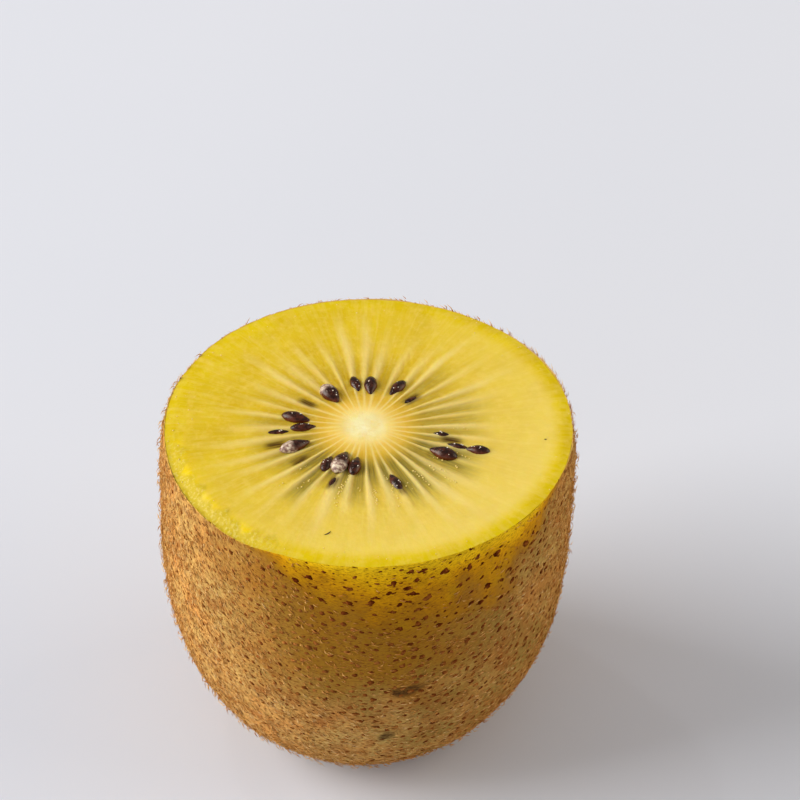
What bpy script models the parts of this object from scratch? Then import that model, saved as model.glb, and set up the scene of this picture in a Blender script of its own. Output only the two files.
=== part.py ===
"""Half of a golden kiwi fruit, cut across its middle and standing on its stem end, cut face up.

Metres, +Z up. The origin is the middle of the small flat spot that the fruit rests on.
The fruit grew as one piece, so it is one object. Its cut face carries the pale core, the rays
that run out from it, the sunken seed chambers between the rays (the locules) and the seeds.
The stem scar and the dry sepals sit in a dimple underneath, clear of the surface below.
"""

import math
import random

import bmesh
import bpy
from mathutils import Euler, Matrix, Vector

MM = 0.001

# The outline is a superellipse, from the flat spot up past the widest place to the cut
CUT_HEIGHT = 40.9 * MM
WIDEST_HEIGHT = 30.1 * MM
WIDEST_RADIUS = 22.4 * MM
REST_RADIUS = 8.0 * MM
LENGTH_POWER = 2.75  # above 2, the side stays straight for longer before it turns in
WIDTH_POWER = 2.8  # above 2, the end is blunter than an ellipse

# Its axis bows a little to one side, so the cut and the flat spot are not in line
LEAN = 0.7 * MM
LEAN_SHARE = 0.53  # how far along the bow the origin's axis crosses it

# The cross-section is a little out of round: a share of the radius, and the angle it peaks at
OVAL, OVAL_PEAK = 0.008, math.radians(-17.0)
THREE_LOBES, THREE_LOBES_PEAK = 0.005, math.radians(21.0)

# The skin is pimpled, but for the stretch just above the flat spot
PIMPLE_HEIGHT = 0.2 * MM
PIMPLE_SHARE = 0.3
CALM_BELOW, PIMPLED_ABOVE = 0.5 * MM, 4.0 * MM

# The cut face
LOCULES = 36
CORE_RADIUS = 4.4 * MM
CORE_CENTRE = Vector((-0.4 * MM, -0.4 * MM, 0.0))
CORE_RISE = 0.25 * MM
RAY_RISE = 0.12 * MM
LOCULE_DEPTH = 0.38 * MM
LOCULES_DEEPEN = (4.4 * MM, 7.0 * MM)  # where they start from the core, and are at full depth
LOCULES_FADE = (10.5 * MM, 17.5 * MM)
RIM_DROP = 0.10 * MM
CHIP_DROP = 0.8 * MM  # where the knife tore the skin's edge away
CHIP_MIDDLE = math.radians(214.0)
CHIP_FULL, CHIP_END = math.radians(15.0), math.radians(34.0)  # away from its middle

# Each locule that the knife opened on a seed, counted anticlockwise from +X, with the seed's
# distance from the middle of the core, in millimetres
SEEDS = {
    4: 7.0, 6: 8.0, 8: 7.5, 9: 8.0, 12: 7.0, 16: 8.0, 17: 6.8, 18: 9.6,
    20: 8.0, 23: 7.0, 24: 6.0, 26: 6.4, 29: 9.0, 33: 9.3, 34: 12.8, 35: 8.5,
}
SEED_LENGTH = 2.7 * MM
SEED_WIDTH = 1.4 * MM
SEED_THICKNESS = 1.1 * MM
SEED_POINT = 0.45  # how much narrower the end that points to the core is
SEED_STANDS_OUT = 0.25 * MM  # its middle, above the floor of its locule
SEED_TURN = math.radians(14.0)  # the most that one lies off the ray
SEED_DIP = math.radians(8.0)

# Under the stem end: a dimple with the woody scar of the stalk and the dry sepals
DIMPLE_RADIUS = 4.8 * MM
DIMPLE_DEPTH = 1.5 * MM
SCAR_RADIUS = 1.9 * MM
SCAR_THICKNESS = 0.8 * MM
SEPALS = 5
SEPAL_LENGTH = 2.6 * MM
SEPAL_WIDTH = 1.7 * MM
SEPAL_THICKNESS = 0.65 * MM
SEPAL_HEIGHT = 1.1 * MM
SEPAL_SLOPE = math.radians(6.0)

# How finely the faces are cut: one column on each ray's crest and two in each locule
COLUMNS_PER_LOCULE = 3
COLUMNS = LOCULES * COLUMNS_PER_LOCULE
SKIN_RINGS = 21
SKIN_RINGS_CROWD = 1.6  # above 1, the rings draw together towards the stem end
FACE_RINGS = (0.35, 0.75, 1.0, 1.25, 1.6, 2.1, 2.7, 3.3, 3.8, 4.3, 4.7)  # in core radii

SEED_OF_DRAWS = 7


def clear_scene():
    for leftover in list(bpy.data.objects):
        bpy.data.objects.remove(leftover)


def linear(hex_colour):
    """A colour written as sRGB hex, as the linear values that a shader takes."""
    channels = [int(hex_colour[i : i + 2], 16) / 255 for i in (1, 3, 5)]
    return [c / 12.92 if c <= 0.04045 else ((c + 0.055) / 1.055) ** 2.4 for c in channels] + [1.0]


def make_material(name, hex_colour, roughness, subsurface=0.0):
    made = bpy.data.materials.new(name)
    made.use_nodes = True
    shader = made.node_tree.nodes["Principled BSDF"]
    shader.inputs["Base Color"].default_value = linear(hex_colour)
    shader.inputs["Roughness"].default_value = roughness
    shader.inputs["Metallic"].default_value = 0.0
    shader.inputs["Subsurface Weight"].default_value = subsurface
    shader.inputs["Subsurface Scale"].default_value = 2.0 * MM
    return made


def smooth_step(value, low, high):
    """0 below low, 1 above high, and a smooth rise between them."""
    t = min(1.0, max(0.0, (value - low) / (high - low)))
    return t * t * (3.0 - 2.0 * t)


def lobes(angle):
    """How far out of round the fruit is at this angle, as a share of its radius."""
    oval = OVAL * math.cos(2.0 * (angle - OVAL_PEAK))
    return 1.0 + oval + THREE_LOBES * math.cos(3.0 * (angle - THREE_LOBES_PEAK))


def outline_radius(height):
    """The fruit's radius at this height. It is the flat spot's at height 0."""
    at_rest = (1.0 - (REST_RADIUS / WIDEST_RADIUS) ** WIDTH_POWER) ** (1.0 / LENGTH_POWER)
    reach = WIDEST_HEIGHT / at_rest
    along = abs(WIDEST_HEIGHT - height) / reach
    return WIDEST_RADIUS * (1.0 - along**LENGTH_POWER) ** (1.0 / WIDTH_POWER)


def middle_at(height):
    """Where the fruit's bowed axis is at this height."""
    return Vector((LEAN * ((height / CUT_HEIGHT) ** 2 - LEAN_SHARE), 0.0, 0.0))


CUT_RADIUS = outline_radius(CUT_HEIGHT)
CUT_MIDDLE = middle_at(CUT_HEIGHT)
REST_MIDDLE = middle_at(0.0)


def chip(angle):
    """1 in the middle of the torn stretch of the edge, falling to 0 at its ends."""
    away = abs((angle - CHIP_MIDDLE + math.pi) % (2.0 * math.pi) - math.pi)
    return 1.0 - smooth_step(away, CHIP_FULL, CHIP_END)


def face_relief(distance, column):
    """How far the cut face stands above the cut's plane: core and rays up, locules down."""
    core = CORE_RISE * (1.0 - smooth_step(distance, 0.5 * CORE_RADIUS, 1.2 * CORE_RADIUS))
    share = smooth_step(distance, *LOCULES_DEEPEN) * (1.0 - smooth_step(distance, *LOCULES_FADE))
    on_ray = column % COLUMNS_PER_LOCULE == 0
    return core + share * (RAY_RISE if on_ray else -LOCULE_DEPTH)


def ring(middle, radius, height):
    """A ring of points round a middle. radius and height are functions of column and angle."""
    points = []
    for column in range(COLUMNS):
        angle = 2.0 * math.pi * column / COLUMNS
        out = radius(column, angle)
        point = Vector((out * math.cos(angle), out * math.sin(angle), height(column, angle)))
        points.append(point + middle)
    return points


def face_rings():
    """The cut face's rings, from the core outwards, the last of them just inside the edge."""
    made = []
    for share in FACE_RINGS:
        distance = share * CORE_RADIUS
        out = distance / CUT_RADIUS
        points = ring(
            CUT_MIDDLE,
            lambda column, angle: distance * (1.0 + (lobes(angle) - 1.0) * out),
            lambda column, angle: CUT_HEIGHT + face_relief(distance, column),
        )
        made.append([point + CORE_CENTRE * (1.0 - out) for point in points])
    return made


def skin_rings(draw):
    """The skin's rings, from the edge of the cut down to just above the flat spot."""
    edge = ring(
        CUT_MIDDLE,
        lambda column, angle: CUT_RADIUS * lobes(angle),
        lambda column, angle: CUT_HEIGHT - RIM_DROP - CHIP_DROP * chip(angle),
    )
    made = [edge]
    for i in range(1, SKIN_RINGS):
        height = CUT_HEIGHT * (1.0 - i / SKIN_RINGS) ** SKIN_RINGS_CROWD
        round_here = outline_radius(height)
        rough = smooth_step(height, CALM_BELOW, PIMPLED_ABOVE)

        def radius(column, angle):
            pimple = PIMPLE_HEIGHT * (draw.random() < PIMPLE_SHARE)
            return round_here + rough * (round_here * (lobes(angle) - 1.0) + pimple)

        made.append(ring(middle_at(height), radius, lambda column, angle: height))
    return made


def stem_end_rings():
    """The flat spot, the dimple in it and the scar in the dimple: radius and height pairs."""
    turned = (
        (REST_RADIUS, 0.0),
        (DIMPLE_RADIUS, 0.0),
        (0.8 * DIMPLE_RADIUS, 0.7 * DIMPLE_DEPTH),
        (SCAR_RADIUS, DIMPLE_DEPTH),
        (0.92 * SCAR_RADIUS, DIMPLE_DEPTH - SCAR_THICKNESS),
        (0.5 * SCAR_RADIUS, DIMPLE_DEPTH - 1.1 * SCAR_THICKNESS),
    )
    return [
        ring(REST_MIDDLE, lambda column, angle: out, lambda column, angle: height)
        for out, height in turned
    ]


def fruit_body(materials):
    """One closed skin of faces: cut face, skin and stem end."""
    draw = random.Random(SEED_OF_DRAWS)
    face, skin, stem_end = face_rings(), skin_rings(draw), stem_end_rings()
    flesh, core, peel, scar = (materials.index(m) for m in ("flesh", "core", "skin", "stem_scar"))
    mesh = bmesh.new()
    rows = [[mesh.verts.new(point) for point in points] for points in face + skin + stem_end]
    core_top = Vector((0.0, 0.0, CUT_HEIGHT + CORE_RISE))
    middle = mesh.verts.new(CUT_MIDDLE + CORE_CENTRE + core_top)
    under = mesh.verts.new(REST_MIDDLE + Vector((0.0, 0.0, DIMPLE_DEPTH - SCAR_THICKNESS)))
    core_rows = sum(share < 1.01 for share in FACE_RINGS)
    scar_from = len(rows) - 3

    for column in range(COLUMNS):
        beside = (column + 1) % COLUMNS
        mesh.faces.new((middle, rows[0][column], rows[0][beside])).material_index = core
        for i, (upper, lower) in enumerate(zip(rows, rows[1:])):
            made = mesh.faces.new((upper[column], lower[column], lower[beside], upper[beside]))
            made.smooth = True
            if i < core_rows - 1:
                made.material_index = core
            elif i < len(face):
                made.material_index = flesh
            else:
                made.material_index = scar if i >= scar_from else peel
        mesh.faces.new((under, rows[-1][beside], rows[-1][column])).material_index = scar

    body = bpy.data.meshes.new("kiwi_half")
    mesh.to_mesh(body)
    mesh.free()
    made = bpy.data.objects.new("kiwi_half", body)
    bpy.context.scene.collection.objects.link(made)
    return made


def seed_mesh():
    """A drop-shaped seed along +X, with its narrow end at -X."""
    mesh = bmesh.new()
    bmesh.ops.create_uvsphere(mesh, u_segments=8, v_segments=6, radius=0.5)
    mesh.transform(Matrix.Rotation(math.pi / 2, 4, "Y"))
    for vertex in mesh.verts:
        narrow = 1.0 - SEED_POINT * smooth_step(-vertex.co.x, -0.1, 0.5)
        vertex.co = Vector((
            vertex.co.x * SEED_LENGTH,
            vertex.co.y * SEED_WIDTH * narrow,
            vertex.co.z * SEED_THICKNESS * narrow,
        ))
    made = bpy.data.meshes.new("seed")
    mesh.to_mesh(made)
    mesh.free()
    return made


def sepal_mesh():
    """A dry sepal along +X: a thick little blade with a point."""
    half, thick = SEPAL_WIDTH / 2, SEPAL_THICKNESS / 2
    outline = ((0.0, -0.6 * half), (0.5 * SEPAL_LENGTH, -half), (SEPAL_LENGTH, 0.0),
               (0.5 * SEPAL_LENGTH, half), (0.0, 0.6 * half))
    mesh = bmesh.new()
    low = [mesh.verts.new((x, y, -thick)) for x, y in outline]
    blade = mesh.faces.new(low)
    raised = bmesh.ops.extrude_face_region(mesh, geom=[blade])
    moved = [item for item in raised["geom"] if isinstance(item, bmesh.types.BMVert)]
    bmesh.ops.translate(mesh, verts=moved, vec=(0.0, 0.0, 2.0 * thick))
    bmesh.ops.recalc_face_normals(mesh, faces=mesh.faces)
    made = bpy.data.meshes.new("sepal")
    mesh.to_mesh(made)
    mesh.free()
    return made


def place_repeats(collection, seed_material, scar_material):
    """The seeds in their locules and the sepals round the stem scar."""
    draw = random.Random(SEED_OF_DRAWS + 1)
    seed, sepal = seed_mesh(), sepal_mesh()
    seed.materials.append(seed_material)
    sepal.materials.append(scar_material)
    for locule, distance in SEEDS.items():
        angle = 2.0 * math.pi * (locule + 0.5) / LOCULES
        turn = angle + draw.uniform(-SEED_TURN, SEED_TURN)
        dip = draw.uniform(-SEED_DIP, SEED_DIP)
        centre = Vector((math.cos(angle), math.sin(angle), 0.0)) * distance * MM
        centre += CUT_MIDDLE + CORE_CENTRE * (1.0 - distance * MM / CUT_RADIUS)
        centre.z = CUT_HEIGHT - LOCULE_DEPTH + SEED_STANDS_OUT
        one = bpy.data.objects.new(f"seed_{locule:02d}", seed)
        one.location = centre
        one.rotation_euler = Euler((0.0, dip, turn))
        collection.objects.link(one)
    for i in range(SEPALS):
        angle = 2.0 * math.pi * (i + 0.3) / SEPALS
        one = bpy.data.objects.new(f"sepal_{i}", sepal)
        out = 0.8 * SCAR_RADIUS
        place = Vector((out * math.cos(angle), out * math.sin(angle), SEPAL_HEIGHT))
        one.location = REST_MIDDLE + place
        one.rotation_euler = Euler((0.0, SEPAL_SLOPE, angle))
        collection.objects.link(one)


def fuse(body, collection):
    """Joins the collection's objects to the body by one Boolean union, then removes them."""
    union = body.modifiers.new("seeds_and_sepals", "BOOLEAN")
    union.operation = "UNION"
    union.operand_type = "COLLECTION"
    union.collection = collection
    union.solver = "EXACT"
    union.material_mode = "TRANSFER"
    bpy.context.view_layer.objects.active = body
    bpy.ops.object.modifier_apply(modifier=union.name)
    for joined in list(collection.objects):
        bpy.data.objects.remove(joined)
    bpy.data.collections.remove(collection)


def main():
    clear_scene()
    materials = {
        "skin": make_material("skin", "#8F6A33", 0.75),
        "flesh": make_material("flesh", "#E3C532", 0.35, subsurface=0.6),
        "core": make_material("core", "#F6E7A4", 0.4, subsurface=0.6),
        "stem_scar": make_material("stem_scar", "#5A3A20", 0.85),
        "seed": make_material("seed", "#24120C", 0.25),
    }
    body = fruit_body(list(materials))
    for material in materials.values():
        body.data.materials.append(material)
    repeats = bpy.data.collections.new("repeats")
    bpy.context.scene.collection.children.link(repeats)
    place_repeats(repeats, materials["seed"], materials["stem_scar"])
    fuse(body, repeats)
    body.data.set_sharp_from_angle(angle=math.radians(40.0))


main()
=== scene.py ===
# %% [markdown]
# # Half of a golden kiwi fruit
# A golden kiwi fruit, cut across its middle, stands on its stem end with the cut face up. Its
# plain solid already has the right size and the main forms. This lesson dresses it: wet golden
# flesh with its rays and seeds, a thin skin, and the coat of short hairs that makes a kiwi a kiwi.
# The solid is loaded first, as a fixed frame that nothing here may move.

import math

import bpy
import numpy as np
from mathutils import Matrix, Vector, kdtree, noise


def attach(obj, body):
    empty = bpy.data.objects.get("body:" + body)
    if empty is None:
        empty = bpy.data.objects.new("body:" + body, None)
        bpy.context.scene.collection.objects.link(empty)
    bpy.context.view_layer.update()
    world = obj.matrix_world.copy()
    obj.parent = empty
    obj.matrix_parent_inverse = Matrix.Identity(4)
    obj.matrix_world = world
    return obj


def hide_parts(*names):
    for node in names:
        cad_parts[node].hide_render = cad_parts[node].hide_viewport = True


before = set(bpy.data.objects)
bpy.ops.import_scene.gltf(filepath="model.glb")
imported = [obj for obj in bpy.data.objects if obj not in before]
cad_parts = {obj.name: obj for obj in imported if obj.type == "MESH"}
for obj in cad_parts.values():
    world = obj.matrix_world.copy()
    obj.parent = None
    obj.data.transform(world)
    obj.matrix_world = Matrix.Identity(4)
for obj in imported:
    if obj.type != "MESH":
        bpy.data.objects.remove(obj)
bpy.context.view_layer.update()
NODE = "kiwi_half"
BODY = "root"
MM = 0.001

# %% [markdown]
# ## The fruit's outline
# Every piece below grows from one outline, so that skin, flesh and hairs stay together. A kiwi's
# side is a superellipse: fuller than an ellipse, blunter than a cone. The cross-section is a
# little out of round and its axis bows to one side, as no fruit is turned on a lathe.

# %% Outline of the fruit
CUT_HEIGHT = 40.9 * MM
WIDEST_HEIGHT, WIDEST_RADIUS = 30.1 * MM, 22.4 * MM
REST_RADIUS = 8.0 * MM  # of the flat spot that it stands on
LENGTH_POWER, WIDTH_POWER = 2.75, 2.8  # two and two would make an ellipse
LEAN, LEAN_SHARE = 0.7 * MM, 0.53  # how far the axis bows, and how much of that is to the left
OVAL, OVAL_PEAK = 0.008, math.radians(-17.0)  # a share of the radius, and the angle it peaks at
THREE_LOBES, THREE_LOBES_PEAK = 0.005, math.radians(21.0)
TURN = 2.0 * math.pi


def lobes(angle):
    """How far out of round the fruit is at this angle, as a share of its radius."""
    oval = OVAL * np.cos(2.0 * (angle - OVAL_PEAK))
    return 1.0 + oval + THREE_LOBES * np.cos(3.0 * (angle - THREE_LOBES_PEAK))


def outline_radius(height):
    """The fruit's radius at this height."""
    at_rest = (1.0 - (REST_RADIUS / WIDEST_RADIUS) ** WIDTH_POWER) ** (1.0 / LENGTH_POWER)
    along = np.abs(WIDEST_HEIGHT - height) * at_rest / WIDEST_HEIGHT
    return WIDEST_RADIUS * (1.0 - along**LENGTH_POWER) ** (1.0 / WIDTH_POWER)


def middle_at(height):
    """How far along X the fruit's bowed axis is at this height."""
    return LEAN * ((height / CUT_HEIGHT) ** 2 - LEAN_SHARE)


CUT_RADIUS = float(outline_radius(CUT_HEIGHT))
REST_MIDDLE = middle_at(0.0)
print(f"the cut is {2 * CUT_RADIUS / MM:.1f} mm across")

# %% [markdown]
# ## Tools for colours and materials
# Colours are written as sRGB hex, as a colour picker shows them, and one function turns them to the
# linear values that a shader takes. Another adds a node with its settings and links, and hands back
# the output that the next node needs. Nature rarely has one flat colour, so most materials here are
# a stack: a tone at the bottom and others laid over it where a mask lets them show.

# %% Tools for colours and materials
MIX_A, MIX_B, MIX_OUT = 6, 7, 2  # the colour sockets of a Mix node


def linear(hex_colour):
    """A colour written as sRGB hex, as the linear values that a shader takes."""
    channels = [int(hex_colour[i : i + 2], 16) / 255 for i in (1, 3, 5)]
    return [c / 12.92 if c <= 0.04045 else ((c + 0.055) / 1.055) ** 2.4 for c in channels] + [1.0]


def add_node(tree, kind, settings=None, links=None, output=0):
    """Adds a node and returns one of its outputs, by place or name. A setting is one of the node's
    properties or, failing that, the value of an input, where a hex colour is turned to linear.
    A colour ramp takes its "stops" as (place, hex colour) pairs."""
    node = tree.nodes.new("ShaderNode" + kind)
    for name, value in (settings or {}).items():
        if name == "stops":
            for i, (place, hex_colour) in enumerate(value):
                stops = node.color_ramp.elements
                stop = stops[i] if i < len(stops) else stops.new(place)
                stop.position, stop.color = place, linear(hex_colour)
        elif isinstance(name, str) and hasattr(node, name):
            setattr(node, name, value)
        else:
            node.inputs[name].default_value = linear(value) if isinstance(value, str) else value
    for name, source in (links or {}).items():
        tree.links.new(source, node.inputs[name])
    return node.outputs[output]


def new_material(name, settings):
    """A material with only a Principled shader in it: returns it, its tree and the shader."""
    made = bpy.data.materials.new(name)
    made.use_nodes = True
    shader = made.node_tree.nodes["Principled BSDF"]
    for socket, value in settings.items():
        shader.inputs[socket].default_value = linear(value) if isinstance(value, str) else value
    return made, made.node_tree, shader


def wire(shader, sources):
    """Links each of a shader's inputs that is named to its source."""
    for socket, source in sources.items():
        shader.id_data.links.new(source, shader.inputs[socket])


def lay_tones(tree, tone, layers):
    """Lays tones over one another and returns the last. Each layer is a mask, the two values that it
    comes in between, how much of it shows at the most, and its own tone or hex colour."""
    for mask, low, high, most, over in layers:
        span = {"From Min": low, "From Max": high, "To Max": most}
        share = add_node(tree, "MapRange", span, {"Value": mask})
        settings, links = {"data_type": "RGBA"}, {"Factor": share}
        for place, colour in ((MIX_A, tone), (MIX_B, over)):
            (settings if isinstance(colour, str) else links)[place] = colour
        tone = add_node(tree, "Mix", settings, links, MIX_OUT)
    return tone


print("a mid grey of #808080 is", round(linear("#808080")[0], 3), "in linear light")

# %% [markdown]
# ## Tools for meshes
# Meshes are made from arrays of points. A piece is often a stack of rings, closed by a point at each
# end, which keeps it one closed skin. One function turns points and faces into a piece that rides
# with the fruit, and reports how many triangles it took.

# %% Tools for meshes
def lumps(points, size, shift=0.0):
    """Smooth noise from about -1 to 1 at each point, with lumps about this size."""
    offset = Vector((shift, 0.37 * shift, -shift))
    return np.array([noise.noise(Vector(p) / size + offset) for p in points])


def turned_ring(radius, height, angles):
    """A ring about the fruit's axis, which bows: it is middle_at(height) from the origin."""
    x, y = radius * np.cos(angles) + middle_at(height), radius * np.sin(angles)
    return np.stack([x, y, 0 * angles + height], 1)


def wrap_rings(rings, first, last):
    """Points and faces of a closed skin: a fan round first, bands between rings, a fan to last."""
    columns = len(rings[0])
    near = np.arange(columns)
    beside = (near + 1) % columns
    points = np.vstack([np.reshape(first, (1, 3)), *rings, np.reshape(last, (1, 3))])
    faces = [(0, 1 + a, 1 + b) for a, b in zip(near, beside)]
    for i in range(len(rings) - 1):
        upper = 1 + i * columns
        lower = upper + columns
        faces += np.stack([upper + near, lower + near, lower + beside, upper + beside], 1).tolist()
    end = len(points) - 1
    faces += [(end, end - columns + b, end - columns + a) for a, b in zip(near, beside)]
    return points, faces


def join_parts(parts):
    """Points and faces of many small closed skins, as those of one mesh."""
    points, faces, first = [], [], 0
    for its_points, its_faces in parts:
        points.append(its_points)
        faces += [[first + i for i in face] for face in its_faces]
        first += len(its_points)
    return np.vstack(points), faces


def add_piece(name, points, faces, material, slot, marks=None):
    """Makes a mesh piece that rides with the fruit and stands for its solid. marks are numbers
    kept at its points for the material to read."""
    mesh = bpy.data.meshes.new(name)
    mesh.from_pydata(np.asarray(points).tolist(), [], faces)
    mesh.shade_smooth()
    for mark, values in (marks or {}).items():
        mesh.attributes.new(mark, "FLOAT", "POINT").data.foreach_set("value", np.float32(values))
    mesh.materials.append(material)
    piece = bpy.data.objects.new(name, mesh)
    bpy.context.scene.collection.objects.link(piece)
    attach(piece, BODY)
    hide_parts(NODE)
    mesh.calc_loop_triangles()
    print(f"{name}: {len(mesh.loop_triangles)} triangles")
    return piece


# %% [markdown]
# ## Camera
# A halved fruit is shown from well above, so that the cut face opens up, and from far off with a
# long lens, so that it does not bulge. The camera stands 14 cut radii away, 44 degrees up, and is
# aimed a little above and to the right of the fruit. That leaves the fruit low in the frame without
# shifting the lens.

# %% Camera
ELEVATION = math.radians(43.76)
CAMERA_DISTANCE = 14.0 * CUT_RADIUS
LENS, SENSOR = 123.5, 36.0  # mm
AIM_UP, AIM_RIGHT = math.radians(2.80), math.radians(0.97)
NEAREST_SEEN, FARTHEST_SEEN = 0.01, 20.0  # metres

target = Vector((0.0, 0.0, 0.6 * CUT_HEIGHT))
back = Vector((0.0, -math.cos(ELEVATION), math.sin(ELEVATION)))
camera = bpy.data.objects.new("camera", bpy.data.cameras.new("camera"))
camera.data.lens, camera.data.sensor_width = LENS, SENSOR
camera.data.clip_start, camera.data.clip_end = NEAREST_SEEN, FARTHEST_SEEN
camera.location = target + back * CAMERA_DISTANCE
camera.rotation_euler = (math.pi / 2 - ELEVATION + AIM_UP, 0.0, -AIM_RIGHT)
bpy.context.scene.collection.objects.link(camera)
bpy.context.scene.camera = camera
print(f"the camera is {CAMERA_DISTANCE / MM:.0f} mm from the fruit")

# %% [markdown]
# ## Light
# A low window on the left makes the fruit glow: one large area light, a touch warm. A pale
# reflector on the right picks out the hairs on that side, and a weak light low at the front stands
# for what the table throws back. A tiny lamp puts crisp glints on the wet seeds. The world fills
# the shadows. The view transform is Standard, so that a golden yellow stays as saturated as its hex
# value says.

# %% Light
LIGHTS = (  # name, azimuth and elevation in degrees, metres away, metres across, watts, colour
    ("window", 178.0, 29.0, 2.0, 1.6, 52.0, "#FFF8EE"),
    ("reflector", 4.0, 24.0, 1.0, 0.9, 4.8, "#FFEACC"),
    ("front_fill", 240.0, 6.0, 1.0, 0.9, 1.5, "#F4F4FF"),
    ("lamp", 130.0, 58.0, 1.0, 0.04, 0.25, "#FFFDF6"),
)
ROOM_COLOUR, ROOM_STRENGTH = "#F8F5F0", 0.31

bpy.context.scene.view_settings.view_transform = "Standard"
for name, azimuth, elevation, away, size, watts, hex_colour in LIGHTS:
    data = bpy.data.lights.new(name, "AREA")
    data.shape, data.size, data.energy = "SQUARE", size, watts
    data.color = linear(hex_colour)[:3]
    light = bpy.data.objects.new(name, data)
    a, e = math.radians(azimuth), math.radians(elevation)
    towards = Vector((math.cos(a) * math.cos(e), math.sin(a) * math.cos(e), math.sin(e)))
    light.location = target + towards * away
    light.rotation_euler = towards.to_track_quat("Z", "Y").to_euler()
    bpy.context.scene.collection.objects.link(light)

room = bpy.data.worlds.new("room")
room.use_nodes = True
room.node_tree.nodes["Background"].inputs["Color"].default_value = linear(ROOM_COLOUR)
room.node_tree.nodes["Background"].inputs["Strength"].default_value = ROOM_STRENGTH
bpy.context.scene.world = room
print(f"{len(LIGHTS)} lights, {sum(light[5] for light in LIGHTS)} watts in all")

# %% [markdown]
# ## Floor
# The fruit stands on a board painted with distemper, a chalky paint that is wholly matt. A glossy
# floor would mirror the window in a low view, so this one has no gloss at all. A very faint mottle
# keeps it from looking like an empty background. The board is a round plate, wide enough to run out
# of every view.

# %% Floor
FLOOR_REACH, FLOOR_THICKNESS, FLOOR_SIDES = 3.0, 0.02, 64
MOTTLE_SIZE = 240.0 * MM

board_paint, tree, shader = new_material(
    "pale board, matt distemper", {"Roughness": 0.9, "IOR": 1.5, "Specular IOR Level": 0.0}
)
# With no vector linked, the noise's coordinates run from 0 to 1 over the whole board.
mottle = add_node(tree, "TexNoise", {"Scale": 2.0 * FLOOR_REACH / MOTTLE_SIZE, "Detail": 3.0})
paint_tone = add_node(tree, "ValToRGB", {"stops": [(0.3, "#DEE6F7"), (0.7, "#E3EAFA")]}, {"Fac": mottle})
wire(shader, {"Base Color": paint_tone})

around = np.arange(FLOOR_SIDES) * TURN / FLOOR_SIDES
edge = np.stack([np.cos(around), np.sin(around), 0 * around], 1) * FLOOR_REACH
below = edge - (0.0, 0.0, FLOOR_THICKNESS)
floor_points, floor_faces = wrap_rings([edge, below], (0, 0, 0), (0, 0, -FLOOR_THICKNESS))
floor_mesh = bpy.data.meshes.new("floor")
floor_mesh.from_pydata(floor_points.tolist(), [], floor_faces)
floor_mesh.materials.append(board_paint)
floor = bpy.data.objects.new("floor", floor_mesh)
bpy.context.scene.collection.objects.link(floor)
print(f"the floor is {2 * FLOOR_REACH:.0f} m across")

# %% [markdown]
# ## The pattern of the cut face
# Cut across, a kiwi shows a pale core, about 36 pale rays that run out from it, and between each
# two rays a locule: a narrow chamber of clear, greenish pulp that holds the seeds. The pattern could
# be painted, but the knife leaves it in relief too, so one set of formulas gives both. Each formula
# takes a distance from the core's middle and an angle, and returns how much of a thing is there.

# %% Rays and locules: sizes
LOCULES = 36
CORE_RADIUS = 4.4 * MM
CORE_CENTRE = np.array([-0.4 * MM, -0.4 * MM])
FACE_REACH = CUT_RADIUS - 0.10 * MM  # the rim of the flesh, just inside the skin's edge
RAY_SWAY, SWAY_LENGTH = 0.012, 2.1 * MM  # radians to either side, and how soon it sways back
RAY_HALF, RAY_WIDENS = 0.11 * MM, 0.40 * MM  # half its width at the core, and what is added further out
RAY_SOFT = 1.9  # how far its soft edge reaches, in half widths
RAY_FADES, PULP_FADES = 9.5 * MM, 5.0 * MM  # over which they fade out before their ends
CLEAR_AT = (0.0, 60.0, 95.0, 125.0, 165.0, 200.0, 230.0, 270.0, 310.0, 340.0, 360.0)  # degrees
CLEAR_SHARE = (0.65, 0.35, 0.28, 0.2, 0.2, 0.75, 1.0, 1.0, 1.0, 0.9, 0.65)  # how clear the pulp is there

draw = np.random.default_rng(11)
ray_angle = (np.arange(LOCULES) + draw.uniform(-0.16, 0.16, LOCULES)) * TURN / LOCULES
ray_width = draw.uniform(0.7, 1.25, LOCULES)
ray_end = draw.uniform(16.5, 21.5, LOCULES) * MM
ray_strength = draw.uniform(0.7, 1.0, LOCULES)
locule_end = draw.uniform(11.5, 16.0, LOCULES) * MM
middles = (np.arange(LOCULES) + 0.5) * 360.0 / LOCULES
locule_strength = np.interp(middles, CLEAR_AT, CLEAR_SHARE) * draw.uniform(0.72, 1.0, LOCULES)
print(f"{LOCULES} rays, the longest out to {ray_end.max() / MM:.1f} mm from the core's middle")

# %% Rays and locules: formulas
def smooth_step(value, low, high):
    """0 below low, 1 above high, and a smooth rise between them."""
    t = np.clip((value - low) / (high - low), 0.0, 1.0)
    return t * t * (3.0 - 2.0 * t)


def turned_from(angle, middle):
    """How far an angle is turned from another one, within half a turn to either side."""
    return (angle - middle + math.pi) % TURN - math.pi


def rays(distance, angle):
    """How much of a pale ray is at each place on the face, from 0 to 1."""
    sway = RAY_SWAY * np.sin(distance / SWAY_LENGTH + 5.0 * angle)
    away = np.abs(turned_from((angle + sway)[..., None], ray_angle))
    half = RAY_HALF + RAY_WIDENS * smooth_step(distance, 4.0 * MM, 14.0 * MM)
    arc = away * distance[..., None] / (half[..., None] * ray_width)
    fade = 1.0 - smooth_step(distance[..., None], ray_end - RAY_FADES, ray_end)
    ray = (1.0 - smooth_step(arc, 0.0, RAY_SOFT)) * fade * ray_strength
    return ray.max(-1) * smooth_step(distance, 0.35 * CORE_RADIUS, 0.8 * CORE_RADIUS)


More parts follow.
